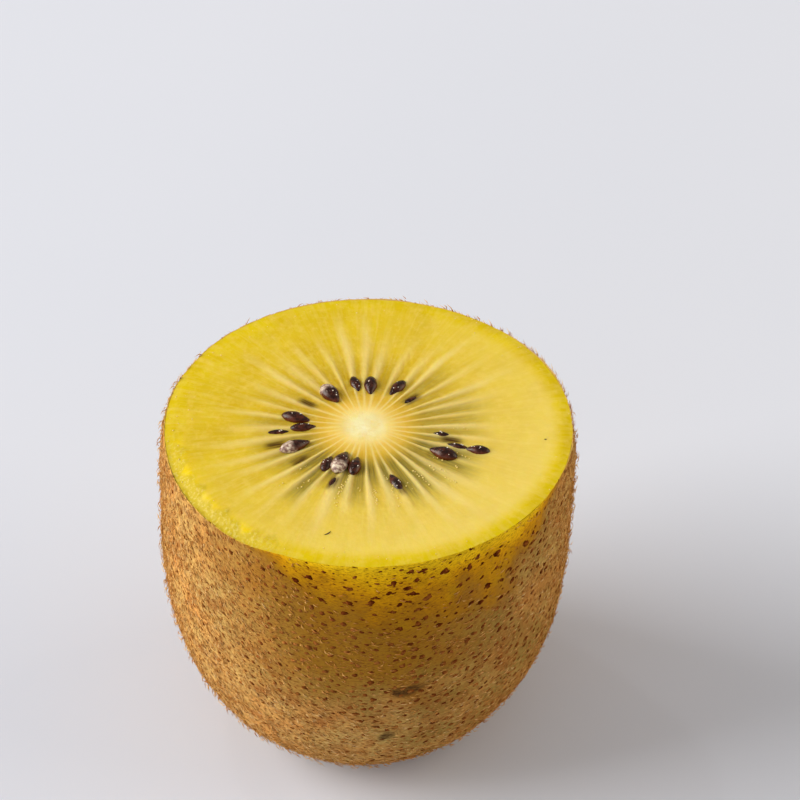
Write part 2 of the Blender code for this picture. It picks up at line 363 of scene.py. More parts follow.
def locule_pulp(distance, angle):
    """How much clear pulp of a locule is at each place, from 0 to 1."""
    turn = angle / TURN * LOCULES
    which = np.floor(turn).astype(int) % LOCULES
    inner = smooth_step(distance, 4.2 * MM, 6.8 * MM)
    outer = 1.0 - smooth_step(distance, locule_end[which] - PULP_FADES, locule_end[which])
    off = np.abs(turn - np.floor(turn) - 0.5)
    return inner * outer * locule_strength[which] * (1.0 - 0.5 * smooth_step(off, 0.3, 0.5))


def on_face(distance, angle):
    """Where a place on the cut face is, seen from above."""
    out = distance / CUT_RADIUS
    across = distance * (1.0 + (lobes(angle) - 1.0) * out)
    x = across * np.cos(angle) + CORE_CENTRE[0] * (1.0 - out) + middle_at(CUT_HEIGHT)
    return x, across * np.sin(angle) + CORE_CENTRE[1] * (1.0 - out)


print(f"the core is {2 * CORE_RADIUS / MM:.1f} mm across, and pulp ends {locule_end.max() / MM:.1f} mm out")

# %% [markdown]
# ## The relief of the cut face
# The core stands a little proud, because it is firmer than the flesh round it. The rays stand up
# between the locules, whose pulp sinks as juice runs out. On one side the knife tore the skin's
# edge away, which left a rough slope of flesh instead of a sharp rim.

# %% Height of the cut face
CORE_RISE, RAY_RISE, RIM_DROP = 0.12 * MM, 0.04 * MM, 0.10 * MM
LOCULE_DEPTH, SHALLOWEST = 0.16 * MM, 0.35  # and the share of it that a locule has without clear pulp
LOCULES_DEEPEN = (4.4 * MM, 7.0 * MM)  # where they start from the core, and are at full depth
LOCULES_FADE = (10.5 * MM, 17.5 * MM)
CHIP_DROP, CHIP_WIDTH = 0.8 * MM, 1.9 * MM  # of the torn slope
CHIP_MIDDLE, CHIP_FULL, CHIP_END = (math.radians(v) for v in (214.0, 15.0, 34.0))
WAVE, WAVE_SIZE = 0.04 * MM, 2.2 * MM  # how high the flesh's unevenness is, and how wide
GRAIN, GRAIN_IN_LOCULES, GRAIN_SIZE = 0.012 * MM, 0.03 * MM, 0.35 * MM
FINE_GRAIN, FINE_GRAIN_SIZE = 0.012 * MM, 0.16 * MM
TORN_GRAIN = 0.10 * MM


def chip(angle):
    """1 in the middle of the torn stretch of the edge, falling to 0 at its ends."""
    return 1.0 - smooth_step(np.abs(turned_from(angle, CHIP_MIDDLE)), CHIP_FULL, CHIP_END)


def torn_share(distance, angle):
    """How torn the flesh is at each place, from 0 to 1, with a ragged inner border."""
    inner = CHIP_WIDTH * (1.0 + 0.25 * np.sin(23.0 * angle) + 0.2 * np.sin(57.0 * angle + 1.0))
    return chip(angle) ** 0.5 * smooth_step(distance, FACE_REACH - inner, FACE_REACH - 0.6 * inner)


def face_point(distance, angle):
    """The point of the cut face at this distance and angle, with its relief."""
    distance, angle = np.broadcast_arrays(np.asarray(distance, float), np.asarray(angle, float))
    x, y = on_face(distance, angle)
    flat = np.stack([x, y, 0 * x], -1).reshape(-1, 3)
    wave = lumps(flat, WAVE_SIZE).reshape(x.shape)
    grain = lumps(flat, GRAIN_SIZE, 7.0).reshape(x.shape)
    fine = lumps(flat, FINE_GRAIN_SIZE, 3.0).reshape(x.shape)
    ray = rays(distance, angle)
    deep = LOCULE_DEPTH * (SHALLOWEST + (1.0 - SHALLOWEST) * locule_pulp(distance, angle))
    sunken = smooth_step(distance, *LOCULES_DEEPEN) * (1.0 - smooth_step(distance, *LOCULES_FADE))
    slope = chip(angle) * smooth_step(distance, FACE_REACH - CHIP_WIDTH, FACE_REACH)
    rise = CORE_RISE * (1.0 - smooth_step(distance, 0.5 * CORE_RADIUS, 1.2 * CORE_RADIUS))
    rise = rise + sunken * (RAY_RISE * ray - deep * (1.0 - ray))
    rise = rise + WAVE * wave + (GRAIN + GRAIN_IN_LOCULES * sunken) * grain + FINE_GRAIN * fine
    rise = rise - CHIP_DROP * slope + TORN_GRAIN * torn_share(distance, angle) * (grain + fine)
    rise = rise - RIM_DROP * smooth_step(distance, FACE_REACH - 1.0 * MM, FACE_REACH)
    return np.stack([x, y, CUT_HEIGHT + rise], -1)


print(f"the edge is torn over {2 * math.degrees(CHIP_END):.0f} degrees, up to {CHIP_DROP / MM} mm deep")

# %% [markdown]
# ## The flesh
# The flesh is a solid body, so that light can travel inside it: Blender's subsurface scattering
# needs a closed mesh. Its top is the cut face, cut into 20 columns for each ray and its locule, and
# its side runs down just inside the skin and closes above the stem.

# %% Flesh: points
FACE_RINGS, FACE_COLUMNS = 96, 20 * LOCULES
PEEL, PEEL_GAP = 0.3 * MM, 0.05 * MM  # how thick the skin is, and the gap that keeps the flesh off it
SIDE_TOP, SIDE_FOOT, SIDE_RINGS = CUT_HEIGHT - 1.2 * MM, 2.0 * MM, 12
STEM_ROOM = 3.0 * MM  # how high the flesh closes over the stem end

face_angles = np.arange(FACE_COLUMNS) * TURN / FACE_COLUMNS
face_distances = np.linspace(0.0, FACE_REACH, FACE_RINGS + 1)[1:]
grid_distance, grid_angle = np.meshgrid(face_distances, face_angles, indexing="ij")
face_grid = face_point(grid_distance, grid_angle)
side_rings = []
for height in np.linspace(SIDE_TOP, SIDE_FOOT, SIDE_RINGS):
    across = (outline_radius(height) - PEEL - PEEL_GAP) * lobes(face_angles)
    side_rings.append(turned_ring(across, height, face_angles))
middle = [CORE_CENTRE[0] + middle_at(CUT_HEIGHT), CORE_CENTRE[1], CUT_HEIGHT + CORE_RISE]
flesh_points, flesh_faces = wrap_rings([*face_grid, *side_rings], middle, (0.0, 0.0, STEM_ROOM))
print(f"the face has a point every {FACE_REACH / FACE_RINGS / MM:.2f} mm outwards")

# %% [markdown]
# The material has to know where the rays, the clear pulp and the torn edge are, and where a seed lies
# just below the surface and darkens it. Each is a mask: one number from 0 to 1 at each point of the
# mesh. Two more numbers give the direction outwards, for fibres that run that way.

# %% Flesh: masks
BURIED_SEEDS = (  # angle in degrees and mm from the core
    (41.5, 6.8), (148.0, 7.4), (196.0, 10.15), (216.5, 8.8), (248.0, 9.6), (290.0, 10.4), (346.0, 9.4),
)
SHADE_HALF_WIDTH, SHADE_HALF_LENGTH = 0.42 * MM, 0.95 * MM
# Painted sheen: the flesh is drawn paler towards this side, in place of the bright room mirrored in its wet
# surface.
SHEEN_SIDE = math.radians(318.0)  # the flesh is paler towards this side

seed_shade = np.zeros_like(grid_distance)
for degrees, out in BURIED_SEEDS:
    across = turned_from(grid_angle, math.radians(degrees)) * grid_distance / SHADE_HALF_WIDTH
    along = (grid_distance - out * MM) / SHADE_HALF_LENGTH
    seed_shade = np.maximum(seed_shade, np.exp(-0.5 * (across**4 + along**4)))
grid_reach = grid_distance / FACE_REACH
# Painted sheen: paler towards one side, fading out at the rim.
painted_sheen = (0.5 + 0.5 * np.cos(grid_angle - SHEEN_SIDE)) * grid_reach
painted_sheen = painted_sheen * (1.0 - 0.9 * smooth_step(grid_reach, 0.88, 0.97))
below_face = np.zeros(SIDE_RINGS * FACE_COLUMNS + 1)
flesh_marks = {"reach": np.concatenate([[0.0], grid_reach.ravel(), below_face + 1.0])}
for mark, grid in (
    ("ray", rays(grid_distance, grid_angle)),
    ("pulp", locule_pulp(grid_distance, grid_angle)),
    ("seed_shade", seed_shade),
    ("torn", torn_share(grid_distance, grid_angle)),
    ("painted_sheen", painted_sheen),
    ("spoke_x", np.cos(grid_angle)),
    ("spoke_y", np.sin(grid_angle)),
):
    flesh_marks[mark] = np.concatenate([[0.0], grid.ravel(), below_face])
print(f"{len(flesh_marks)} masks over {len(flesh_points)} points")

# %% [markdown]
# ## The flesh's material
# Ripe golden kiwi flesh is wet plant tissue: water in cells, so its IOR is near 1.36, and light
# wanders up to a millimetre in it before it comes out again, red the furthest and blue hardly at
# all. That gives the eye its glow. It fades at the rim, where the thin edge would glow too much. The
# gloss comes from a thin film of juice, so it is a weak coat and not the flesh's own: a stronger one
# would show the eye a mirror in a low view. The fibres that run outwards are a noise stretched along
# the rays, 0.4 mm wide, which is twice the real width so that they show, and 5 mm long.

# %% Flesh: patterns
FIBRE_WIDTH, FIBRE_LENGTH = 0.4 * MM, 5.0 * MM
FIBRES_AT = 0.7  # the share of the way out at which they have that width
FLESH_NOISES = (  # name, size of its lumps, detail, roughness
    ("clouds", 4.0 * MM, 2.0, 0.5),
    ("mottle", 0.9 * MM, 3.0, 0.6),
    ("cells", 0.3 * MM, 2.0, 0.5),
)

flesh_look, tree, shader = new_material("kiwi flesh, freshly cut", {
    "IOR": 1.36, "Specular IOR Level": 0.0, "Subsurface Scale": 0.9 * MM,
    "Subsurface Radius": (1.0, 0.62, 0.12), "Coat Weight": 0.12, "Coat Roughness": 0.2,
})
marks = {
    name: add_node(tree, "Attribute", {"attribute_name": name}, output="Fac") for name in flesh_marks
}
outwards = add_node(tree, "CombineXYZ", {}, {"X": marks["spoke_x"], "Y": marks["spoke_y"]})
many = add_node(tree, "VectorMath", {"operation": "SCALE", "Scale": FIBRES_AT * FACE_REACH / FIBRE_WIDTH},
                {0: outwards})
few = add_node(tree, "Math", {"operation": "MULTIPLY", 1: FACE_REACH / FIBRE_LENGTH}, {0: marks["reach"]})
few_up = add_node(tree, "CombineXYZ", {}, {"Z": few})
fibre_place = add_node(tree, "VectorMath", {"operation": "ADD"}, {0: many, 1: few_up})
fibres = add_node(tree, "TexNoise", {"Scale": 1.0, "Detail": 3.0, "Roughness": 0.6},
                  {"Vector": fibre_place})
where = add_node(tree, "TexCoord", output="Object")
noises = {
    name: add_node(tree, "TexNoise", {"Scale": 1.0 / size, "Detail": detail, "Roughness": roughness},
                   {"Vector": where})
    for name, size, detail, roughness in FLESH_NOISES
}
print(f"{len(marks)} masks, fibres and {len(noises)} noises for the flesh")

# %% [markdown]
# The colour runs from the cream core through an orange-yellow ring to golden yellow, a little
# greener below the skin. Over that lie clouds and fibres, a painted sheen that makes one side paler,
# the clear pulp, the pale rays, the shade of buried seeds, and crumbs where the edge is torn. Pulp
# and shade are streaked by the fibres, which keeps them from looking sprayed on.

# %% Flesh: tones and wetness
FROM_CORE = (  # share of the way from the core's middle to the rim, and the tone there
    (0.0, "#FFF8CC"), (0.085, "#FFF4B8"), (0.125, "#FBE18A"), (0.16, "#EFCB60"), (0.21, "#E0B63C"),
    (0.3, "#D4AE28"), (0.42, "#D6B224"), (0.6, "#E0C22E"), (0.85, "#E2C628"), (0.94, "#E6CC18"),
    (1.0, "#DEC60E"),
)
from_core = add_node(tree, "ValToRGB", {"stops": FROM_CORE}, {"Fac": marks["reach"]})
in_streaks = add_node(tree, "MapRange", {"From Min": 0.32, "From Max": 0.6, "To Min": 0.5},
                      {"Value": fibres})
in_crumbs = add_node(tree, "MapRange", {"From Min": 0.5, "From Max": 0.66}, {"Value": noises["cells"]})
broken_up = {
    name: add_node(tree, "Math", {"operation": "MULTIPLY"}, {0: marks[name], 1: pattern})
    for name, pattern in (("pulp", in_streaks), ("seed_shade", in_streaks), ("torn", in_crumbs))
}
flesh_tone = lay_tones(tree, from_core, (
    (noises["clouds"], 0.42, 0.7, 0.4, "#CBA716"),
    (noises["mottle"], 0.45, 0.75, 0.45, "#F0D668"),
    (fibres, 0.45, 0.75, 0.25, "#F2DC80"),
    # painted sheen: paler towards one side
    (marks["painted_sheen"], 0.15, 0.9, 0.6, "#F8E384"),
    (broken_up["pulp"], 0.0, 1.0, 1.0, "#787034"),
    (marks["ray"], 0.0, 1.0, 0.7, "#F4E298"),
    (broken_up["seed_shade"], 0.0, 1.0, 1.0, "#4A3016"),
    (marks["torn"], 0.0, 1.0, 0.75, "#C3AC2C"),
    (broken_up["torn"], 0.0, 1.0, 0.7, "#DCCB68"),
))
dry_where_torn = add_node(tree, "MapRange", {"To Min": 0.4, "To Max": 0.8}, {"Value": marks["torn"]})
glow_to_rim = add_node(
    tree, "MapRange", {"From Min": 0.9, "From Max": 0.99, "To Min": 0.5, "To Max": 0.05},
    {"Value": marks["reach"]},
)
wet_cells = add_node(tree, "Bump", {"Strength": 0.3, "Distance": 0.04 * MM}, {"Height": noises["cells"]})
wet_fibres = add_node(tree, "Bump", {"Strength": 0.3, "Distance": 0.06 * MM},
                      {"Height": fibres, "Normal": wet_cells})
wire(shader, {
    "Base Color": flesh_tone, "Roughness": dry_where_torn, "Subsurface Weight": glow_to_rim,
    "Normal": wet_fibres,
})
flesh = add_piece("flesh", flesh_points, flesh_faces, flesh_look, "flesh", flesh_marks)
flesh.data.set_sharp_from_angle(angle=math.radians(60.0))  # keeps the cut's edge from shading round

# %% [markdown]
# ## The skin
# A kiwi's skin is a peel about 0.3 mm thick. It is made here as a real shell, outside and inside,
# so that its cut edge shows as the thin tan line round the flesh. The rings of its outside are set
# at equal steps along the side, which keeps the faces even, and the side is lumpy at two sizes: soft
# dents of a few millimetres, and the pimples that the hairs grow from.

# %% Skin: the surface
SKIN_COLUMNS, SKIN_RINGS = 480, 140
PIMPLE, PIMPLE_SIZE = 0.07 * MM, 0.75 * MM
DENT, DENT_SIZE = 0.18 * MM, 6.0 * MM
CALM_BELOW, PIMPLED_ABOVE = 0.5 * MM, 4.0 * MM
SIDE_SAMPLES = 400
SKIN_STEP = 1e-3  # the share of the side, and the radians, between the points that give a direction

side_heights = CUT_HEIGHT * (1.0 - np.linspace(0.0, 1.0, SIDE_SAMPLES) ** 2)
side_steps = np.hypot(np.diff(side_heights), np.diff(outline_radius(side_heights)))
side_lengths = np.append(0.0, np.cumsum(side_steps))
SIDE_LENGTH = side_lengths[-1]


def rim_height(angle):
    """How high the skin's edge is: lower where the knife tore it."""
    return CUT_HEIGHT - RIM_DROP - CHIP_DROP * chip(angle)


def on_skin(share, angle):
    """The smooth skin's point at this share of the way down its side."""
    height = np.interp(share * SIDE_LENGTH, side_lengths, side_heights)
    across = outline_radius(height)
    across = across * (1.0 + (lobes(angle) - 1.0) * smooth_step(height, CALM_BELOW, PIMPLED_ABOVE))
    x, y = across * np.cos(angle) + middle_at(height), across * np.sin(angle)
    return np.stack([x, y, height * rim_height(angle) / CUT_HEIGHT], -1)


def out_of_skin(share, angle):
    """The direction straight out of the skin, and the two along it: round the fruit and down."""
    around = on_skin(share, angle + SKIN_STEP) - on_skin(share, angle - SKIN_STEP)
    upper, lower = np.maximum(share - SKIN_STEP, 0.0), np.minimum(share + SKIN_STEP, 1.0)
    down = on_skin(lower, angle) - on_skin(upper, angle)
    around /= np.linalg.norm(around, axis=-1, keepdims=True)
    down /= np.linalg.norm(down, axis=-1, keepdims=True)
    out = np.cross(down, around)
    return out / np.linalg.norm(out, axis=-1, keepdims=True), around, down


def skin_surface(share, angle):
    """The skin's true surface, with its dents and pimples, at each share and angle."""
    smooth = on_skin(share, angle)
    flat = smooth.reshape(-1, 3)
    rough = PIMPLE * lumps(flat, PIMPLE_SIZE) + DENT * lumps(flat, DENT_SIZE, 4.0)
    rough = rough * smooth_step(flat[:, 2], CALM_BELOW, PIMPLED_ABOVE)
    return smooth + out_of_skin(share, angle)[0] * rough.reshape(smooth.shape[:-1])[..., None]


skin_angles = np.arange(SKIN_COLUMNS) * TURN / SKIN_COLUMNS
share_grid, angle_grid = np.meshgrid(np.linspace(0.0, 1.0, SKIN_RINGS), skin_angles, indexing="ij")
skin_grid = skin_surface(share_grid, angle_grid)
print(f"the side is {SIDE_LENGTH / MM:.1f} mm long from the cut to the flat spot")

# %% [markdown]
# The edge of the peel is rounded over by one ring in the middle of its thickness, and it wavers a
# little, because a knife drags a hairy skin. Underneath, the skin closes in a shallow dimple.

# %% Skin: edge, inside and stem end
DIMPLE_RADIUS, DIMPLE_DEPTH = 4.8 * MM, 1.5 * MM
DIMPLE_RINGS, INSIDE_RINGS = 9, 8
EDGE_WAVER, EDGE_WAVER_SIZE = 0.04 * MM, 0.6 * MM
EDGE_CRUMB, EDGE_CRUMB_SIZE = 0.16 * MM, 0.4 * MM
EDGE_ROUND, EDGE_FALL = 0.05 * MM, 0.12 * MM  # how far it is rounded inwards, and its fall to the flesh


def pulled_in(ring, inwards, up):
    """The same ring, nearer the axis and higher or lower."""
    middle = ring.mean(0) * (1.0, 1.0, 0.0)
    out = ring - middle
    across = np.hypot(out[:, 0], out[:, 1])
    out[:, :2] *= ((across - inwards) / across)[:, None]
    out[:, 2] += up
    return out + middle


waver = EDGE_WAVER * lumps(skin_grid[0], EDGE_WAVER_SIZE, 9.0)
crumbs = EDGE_CRUMB * np.clip(lumps(skin_grid[0], EDGE_CRUMB_SIZE, 2.0), 0.0, 1.0)
top_ring = pulled_in(skin_grid[0], EDGE_ROUND, 0.01 * MM + waver + crumbs)
inner_edge = pulled_in(skin_grid[0], 0.5 * PEEL, -EDGE_FALL)
inside = [
    pulled_in(on_skin(share, skin_angles), PEEL, 0.0) for share in np.linspace(0.85, 0.05, INSIDE_RINGS)
]
stem_end = [turned_ring(REST_RADIUS * share, 0.0, skin_angles) for share in (0.95, 0.85, 0.75)]
for share in np.linspace(1.0, 0.1, DIMPLE_RINGS):
    sunk = DIMPLE_DEPTH * (1.0 - share**2) ** 0.7
    stem_end.append(turned_ring(DIMPLE_RADIUS * 0.95 * share, sunk, skin_angles))
skin_rows = [*inside, inner_edge, top_ring, *skin_grid, *stem_end]
skin_points, skin_faces = wrap_rings(
    skin_rows, (REST_MIDDLE, 0, DIMPLE_DEPTH + 2 * MM), (REST_MIDDLE, 0, DIMPLE_DEPTH)
)
print(f"the skin's edge wavers by up to {(EDGE_WAVER + EDGE_CRUMB) / MM:.2f} mm")

# %% [markdown]
# Just under the cut, light from the bright face comes through the thin skin and turns it golden.
# It reaches furthest down at the front. Below it the skin is golden brown, and further down, where
# the hairs are rubbed off, olive; that olive is also painted shade, darkest at the front, which the
# window light only grazes. Two small old bruises are there too. Each of these is a mask again,
# worked out from a point's own height and angle, with a ragged edge from a noise.

# %% Skin: where it glows
GLOW_MIDDLE, GLOW_SPREAD = math.radians(288.0), math.radians(52.0)  # its angle, and how far it goes on
GLOW_LEAST, GLOW_MOST = 0.9 * MM, 13.0 * MM  # how far down it reaches, at the back and the front


def angle_of(points):
    """The angle at which each point lies round the fruit."""
    return np.arctan2(points[:, 1], points[:, 0])


def off_glow(angle):
    """How far an angle is from the middle of the glow, as a share of its spread."""
    return np.abs(turned_from(angle, GLOW_MIDDLE)) / GLOW_SPREAD


def glow(points):
    """How much light comes through the skin at each point, from 0 to 1."""
    angle = angle_of(points)
    away = off_glow(angle) + 0.12 * lumps(points, 3.0 * MM, 12.0)
    depth = GLOW_LEAST + (GLOW_MOST - GLOW_LEAST) * (1.0 - smooth_step(away, 0.25, 1.0))
    depth = depth * (1.0 + 0.5 * lumps(points, 4.0 * MM, 2.0) + 0.35 * lumps(points, 1.5 * MM, 5.0))
    below = np.clip((rim_height(angle) - points[:, 2]) / depth, 0.0, 1.0)
    return (1.0 - below) ** 1.2 * (1.0 - 0.95 * smooth_step(away, 0.6, 1.25))


print(f"the glow goes some {GLOW_MOST / MM:.1f} mm down in front, {GLOW_LEAST / MM:.1f} mm behind")

# %% Skin: where it is worn and in painted shade, golden brown or bruised
WORN_SHADE_TURNS, WORN_SHADE_BETWEEN = math.radians(38.0), (12.0 * MM, 28.0 * MM)  # low down it is more to the right
WORN_SHADE_FULL, WORN_SHADE_END = math.radians(12.0), math.radians(90.0)
GILT_MIDDLE, GILT_FULL, GILT_END = (math.radians(v) for v in (269.0, 8.0, 46.0))
GILT_BETWEEN, GILT_WIDENS, GILT_WIDENS_BETWEEN = (17.0 * MM, 27.0 * MM), 0.45, (26.0 * MM, 38.0 * MM)
BRUISES = ((281.0, 22.3, 1.8, 1.0), (275.5, 14.3, 0.9, 0.8))  # degrees, mm up, mm wide, mm high
BRUISE_TILT = 0.3  # how much it rises for its width


def worn_and_shaded(points):
    """How much of the hair is rubbed off at each point, which is also how much painted shade the skin's
    tone gets: most at the front, from 0 to 1.
    """
    middle = GLOW_MIDDLE + WORN_SHADE_TURNS * (1.0 - smooth_step(points[:, 2], *WORN_SHADE_BETWEEN))
    front = 1.0 - smooth_step(np.abs(turned_from(angle_of(points), middle)), WORN_SHADE_FULL, WORN_SHADE_END)
    return np.clip(front * (0.85 + 0.5 * lumps(points, 5.0 * MM, 3.0)), 0.0, 1.0)


def gilt(points):
    """How golden brown the skin is under the glow, from 0 to 1: a veil over the upper front."""
    away = np.abs(turned_from(angle_of(points), GILT_MIDDLE))
    away = away / (1.0 + GILT_WIDENS * smooth_step(points[:, 2], *GILT_WIDENS_BETWEEN))
    ragged = points[:, 2] + 3.0 * MM * lumps(points, 4.0 * MM, 9.0)
    return (1.0 - smooth_step(away, GILT_FULL, GILT_END)) * smooth_step(ragged, *GILT_BETWEEN)


def bruised(points):
    """How dark a bruise is at each point, from 0 to 1."""
    ragged = 1.0 + 0.8 * lumps(points, 0.9 * MM, 8.0) + 0.6 * lumps(points, 0.35 * MM, 3.0)
    found = np.zeros(len(points))
    for degrees, up, wide, high in BRUISES:
        off = turned_from(angle_of(points), math.radians(degrees))
        u = off * np.hypot(points[:, 0], points[:, 1]) / (wide * MM)
        v = (points[:, 2] - up * MM - BRUISE_TILT * u * MM) / (high * MM)
        found = np.maximum(found, 1.0 - smooth_step((u * u + v * v) * ragged, 0.3, 1.3))
    return found


skin_marks = {
    "glow": glow(skin_points), "worn_and_shaded": worn_and_shaded(skin_points), "gilt": gilt(skin_points),
    "bruise": bruised(skin_points),
}
edge_starts = len(inside) * SKIN_COLUMNS + 1
for mark in skin_marks.values():
    mark[:edge_starts] = 0.0
lip = np.zeros(len(skin_points))
lip_here = 0.5 + 0.5 * smooth_step(off_glow(skin_angles), 0.6, 1.15)  # half where the skin glows
lip[edge_starts - 1 : edge_starts - 1 + 2 * SKIN_COLUMNS] = np.tile(lip_here, 2)
skin_marks["lip"] = lip
print(f"the skin glows at {np.mean(skin_marks['glow'] > 0.5):.1%} of its points")

# %% [markdown]
# ## The skin's material
# Kiwi skin is a dry, corky film: matt, IOR about 1.45, with no gloss worth drawing and a little
# sheen from its fluff. Its colour is tan in patches of some 5 mm, rust in smaller ones, olive where
# it is bare, darker olive in painted shade at the front, and gold where it glows. The worn stubs of
# hairs streak all of it, and soft brown spots of half a millimetre lie between the corky specks,
# which are meshes of their own further down. The streaks are a noise that is stretched and tilted
# to lie the way the hairs do: round the fruit and rising to one side. Real stubs are less than half
# as wide as these streaks, too fine to show.

# %% Skin: patterns
LIE_OF_HAIRS = math.radians(38.0)
FLATTENED, STRETCH = 0.6, 3.0  # what makes a lump of noise long and thin
STREAK_WIDTH, THINNED = 0.13 * MM, 0.3  # a lump ends up this share of its size across
SKIN_NOISES = (  # name, whether stretched, size of its lumps, detail, roughness
    ("patches", False, 5.0 * MM, 3.0, 0.6),
    ("rusty", False, 3.0 * MM, 3.0, 0.65),
    ("streaks", True, STREAK_WIDTH / THINNED, 2.0, 0.55),
    ("spots", True, 0.5 * MM, 2.0, 0.55),
    ("freckles", True, 0.45 * MM, 3.0, 0.65),
)

skin_look, tree, shader = new_material("kiwi skin, corky and dry", {
    "Roughness": 0.8, "IOR": 1.45, "Specular IOR Level": 0.0,
    "Sheen Weight": 0.2, "Sheen Roughness": 0.5, "Sheen Tint": "#F0B060",
})
marks = {name: add_node(tree, "Attribute", {"attribute_name": name}, output="Fac") for name in skin_marks}
where = add_node(tree, "TexCoord", output="Object")
laid = add_node(tree, "Mapping", {
    "vector_type": "TEXTURE", "Rotation": (LIE_OF_HAIRS, 0.0, 0.0), "Scale": (1.0, 1.0, FLATTENED),
}, {"Vector": where})
stretched = add_node(tree, "VectorMath", {"operation": "MULTIPLY", 1: (1.0, 1.0, STRETCH)}, {0: laid})
noises = {
    name: add_node(tree, "TexNoise", {"Scale": 1.0 / size, "Detail": detail, "Roughness": roughness},
                   {"Vector": stretched if long else where})
    for name, long, size, detail, roughness in SKIN_NOISES
}
print(f"{len(marks)} masks and {len(noises)} noises for the skin")

# %% [markdown]
# The tones go on from the peel outwards: the ground colour of the peel, rust, the bare olive of the
# worn front, which is painted shade as well, the golden veil, then streaks and spots, the light that
# shines through from the cut, and the bruises. A tone on the skin's cut edge, the lip, leads from the
# flesh to the skin.

# %% Skin: tones
PEEL_TONES = ((0.32, "#E0BC70"), (0.46, "#E8BA6C"), (0.58, "#ECB264"), (0.72, "#ECA65A"))
# Bare skin and painted shade: the darker olive tones of the front.
BARE_AND_SHADED_TONES = ((0.35, "#8E7C3C"), (0.5, "#987A3C"), (0.66, "#A4783C"))
GLOW_TONES = (
    (0.0, "#A07220"), (0.3, "#A87010"), (0.55, "#BC8210"), (0.75, "#DA9E0E"), (0.88, "#F2BE12"),
    (1.0, "#FAD21E"),
)
ground = add_node(tree, "ValToRGB", {"stops": PEEL_TONES}, {"Fac": noises["patches"]})
bare_and_shaded = add_node(tree, "ValToRGB", {"stops": BARE_AND_SHADED_TONES}, {"Fac": noises["patches"]})
glowing = add_node(tree, "ValToRGB", {"stops": GLOW_TONES}, {"Fac": marks["glow"]})
glowing = lay_tones(tree, glowing, (
    (noises["patches"], 0.48, 0.62, 0.4, "#A88A14"),
    (noises["streaks"], 0.5, 0.7, 0.4, "#8A5408"),
    (noises["freckles"], 0.51, 0.63, 0.7, "#80480C"),
))
ragged = add_node(
    tree, "MapRange", {"From Min": 0.35, "From Max": 0.65, "To Min": 0.12, "To Max": -0.16},
    {"Value": noises["freckles"]},
)
glow_share = add_node(tree, "Math", {"operation": "ADD"}, {0: marks["glow"], 1: ragged})
streaky = add_node(tree, "MapRange", {"From Min": 0.35, "From Max": 0.6, "To Min": 0.5},
                   {"Value": noises["streaks"]})
scabbed = add_node(tree, "Math", {"operation": "MULTIPLY"}, {0: marks["bruise"], 1: streaky})
lip_tone = lay_tones(tree, "#E4C41C", [(marks["lip"], 0.5, 1.0, 1.0, "#DDB870")])
skin_tone = lay_tones(tree, ground, (
    (noises["rusty"], 0.54, 0.68, 0.5, "#C8743C"),
    # painted shade: the front, which the window light only grazes, is drawn darker olive over its rubbed,
    # bare skin
    (marks["worn_and_shaded"], 0.05, 0.85, 0.95, bare_and_shaded),
    (noises["rusty"], 0.5, 0.66, 0.45, "#985828"),
    (marks["gilt"], 0.0, 1.0, 0.85, "#9C6C0E"),
    (noises["streaks"], 0.48, 0.68, 0.5, "#86582A"),
    (noises["spots"], 0.53, 0.66, 0.75, "#6E3C18"),
    (glow_share, 0.05, 0.6, 0.95, glowing),
    (scabbed, 0.0, 1.0, 1.0, "#382418"),
    (marks["lip"], 0.1, 0.45, 0.95, lip_tone),
))
stubble = add_node(tree, "Bump", {"Strength": 0.5, "Distance": 0.08 * MM}, {"Height": noises["streaks"]})
wire(shader, {"Base Color": skin_tone, "Normal": stubble})
add_piece("skin", skin_points, skin_faces, skin_look, "skin", skin_marks)

# %% [markdown]
# ## The seeds
# A kiwi seed is a flattened drop, some 2.5 mm long, with its point to the core. It is glossy and
# nearly black, red-brown towards its margin, with a finely netted coat that breaks up the
# highlights. Some still wear a cap of torn, whitish pulp on their outer end. Each seed is placed one
# by one here, because there are few and the eye knows them; the shape itself is one formula.

# %% Seeds: nineteen places
SEEDS = (  # degrees, mm from the core, mm long, mm wide, degrees off the ray, capped share, mm deep
    (41.5, 6.4, 2.4, 0.95, -3.0, 0.0, 0.3),
    (61.0, 7.25, 2.8, 1.35, -7.0, 0.0, 0.05),
    (85.0, 6.8, 2.9, 1.5, 4.0, 0.0, 0.0),
    (98.5, 7.2, 2.6, 1.15, 7.0, 0.0, 0.1),
    (125.5, 6.45, 3.0, 1.9, -4.0, 0.36, -0.1),
    (168.5, 7.7, 3.2, 1.55, -7.0, 0.0, 0.0),
    (180.0, 6.75, 2.8, 1.2, 5.0, 0.0, 0.05),
    (184.0, 9.4, 2.6, 0.8, 0.0, 0.0, 0.2),
    (202.0, 8.15, 3.3, 1.5, 2.0, 0.42, -0.05),
    (216.5, 8.6, 2.2, 0.8, 0.0, 0.0, 0.42),
    (234.5, 7.15, 2.4, 1.3, 14.0, 0.0, 0.1),
    (245.5, 6.3, 3.2, 1.85, 2.0, 0.34, -0.15),
    (248.0, 9.35, 2.3, 1.0, -3.0, 0.0, 0.32),
    (259.5, 6.45, 2.8, 1.4, -3.0, 0.0, -0.05),
    (289.0, 9.3, 3.0, 1.15, 3.0, 0.05, 0.2),
    (331.0, 9.35, 3.2, 1.7, 3.0, 0.0, -0.05),
    (341.0, 12.5, 2.6, 1.3, 8.0, 0.0, 0.05),
    (341.0, 10.2, 2.5, 0.8, 0.0, 0.0, 0.12),
    (350.5, 8.15, 1.9, 0.85, -4.0, 0.0, 0.15),
)


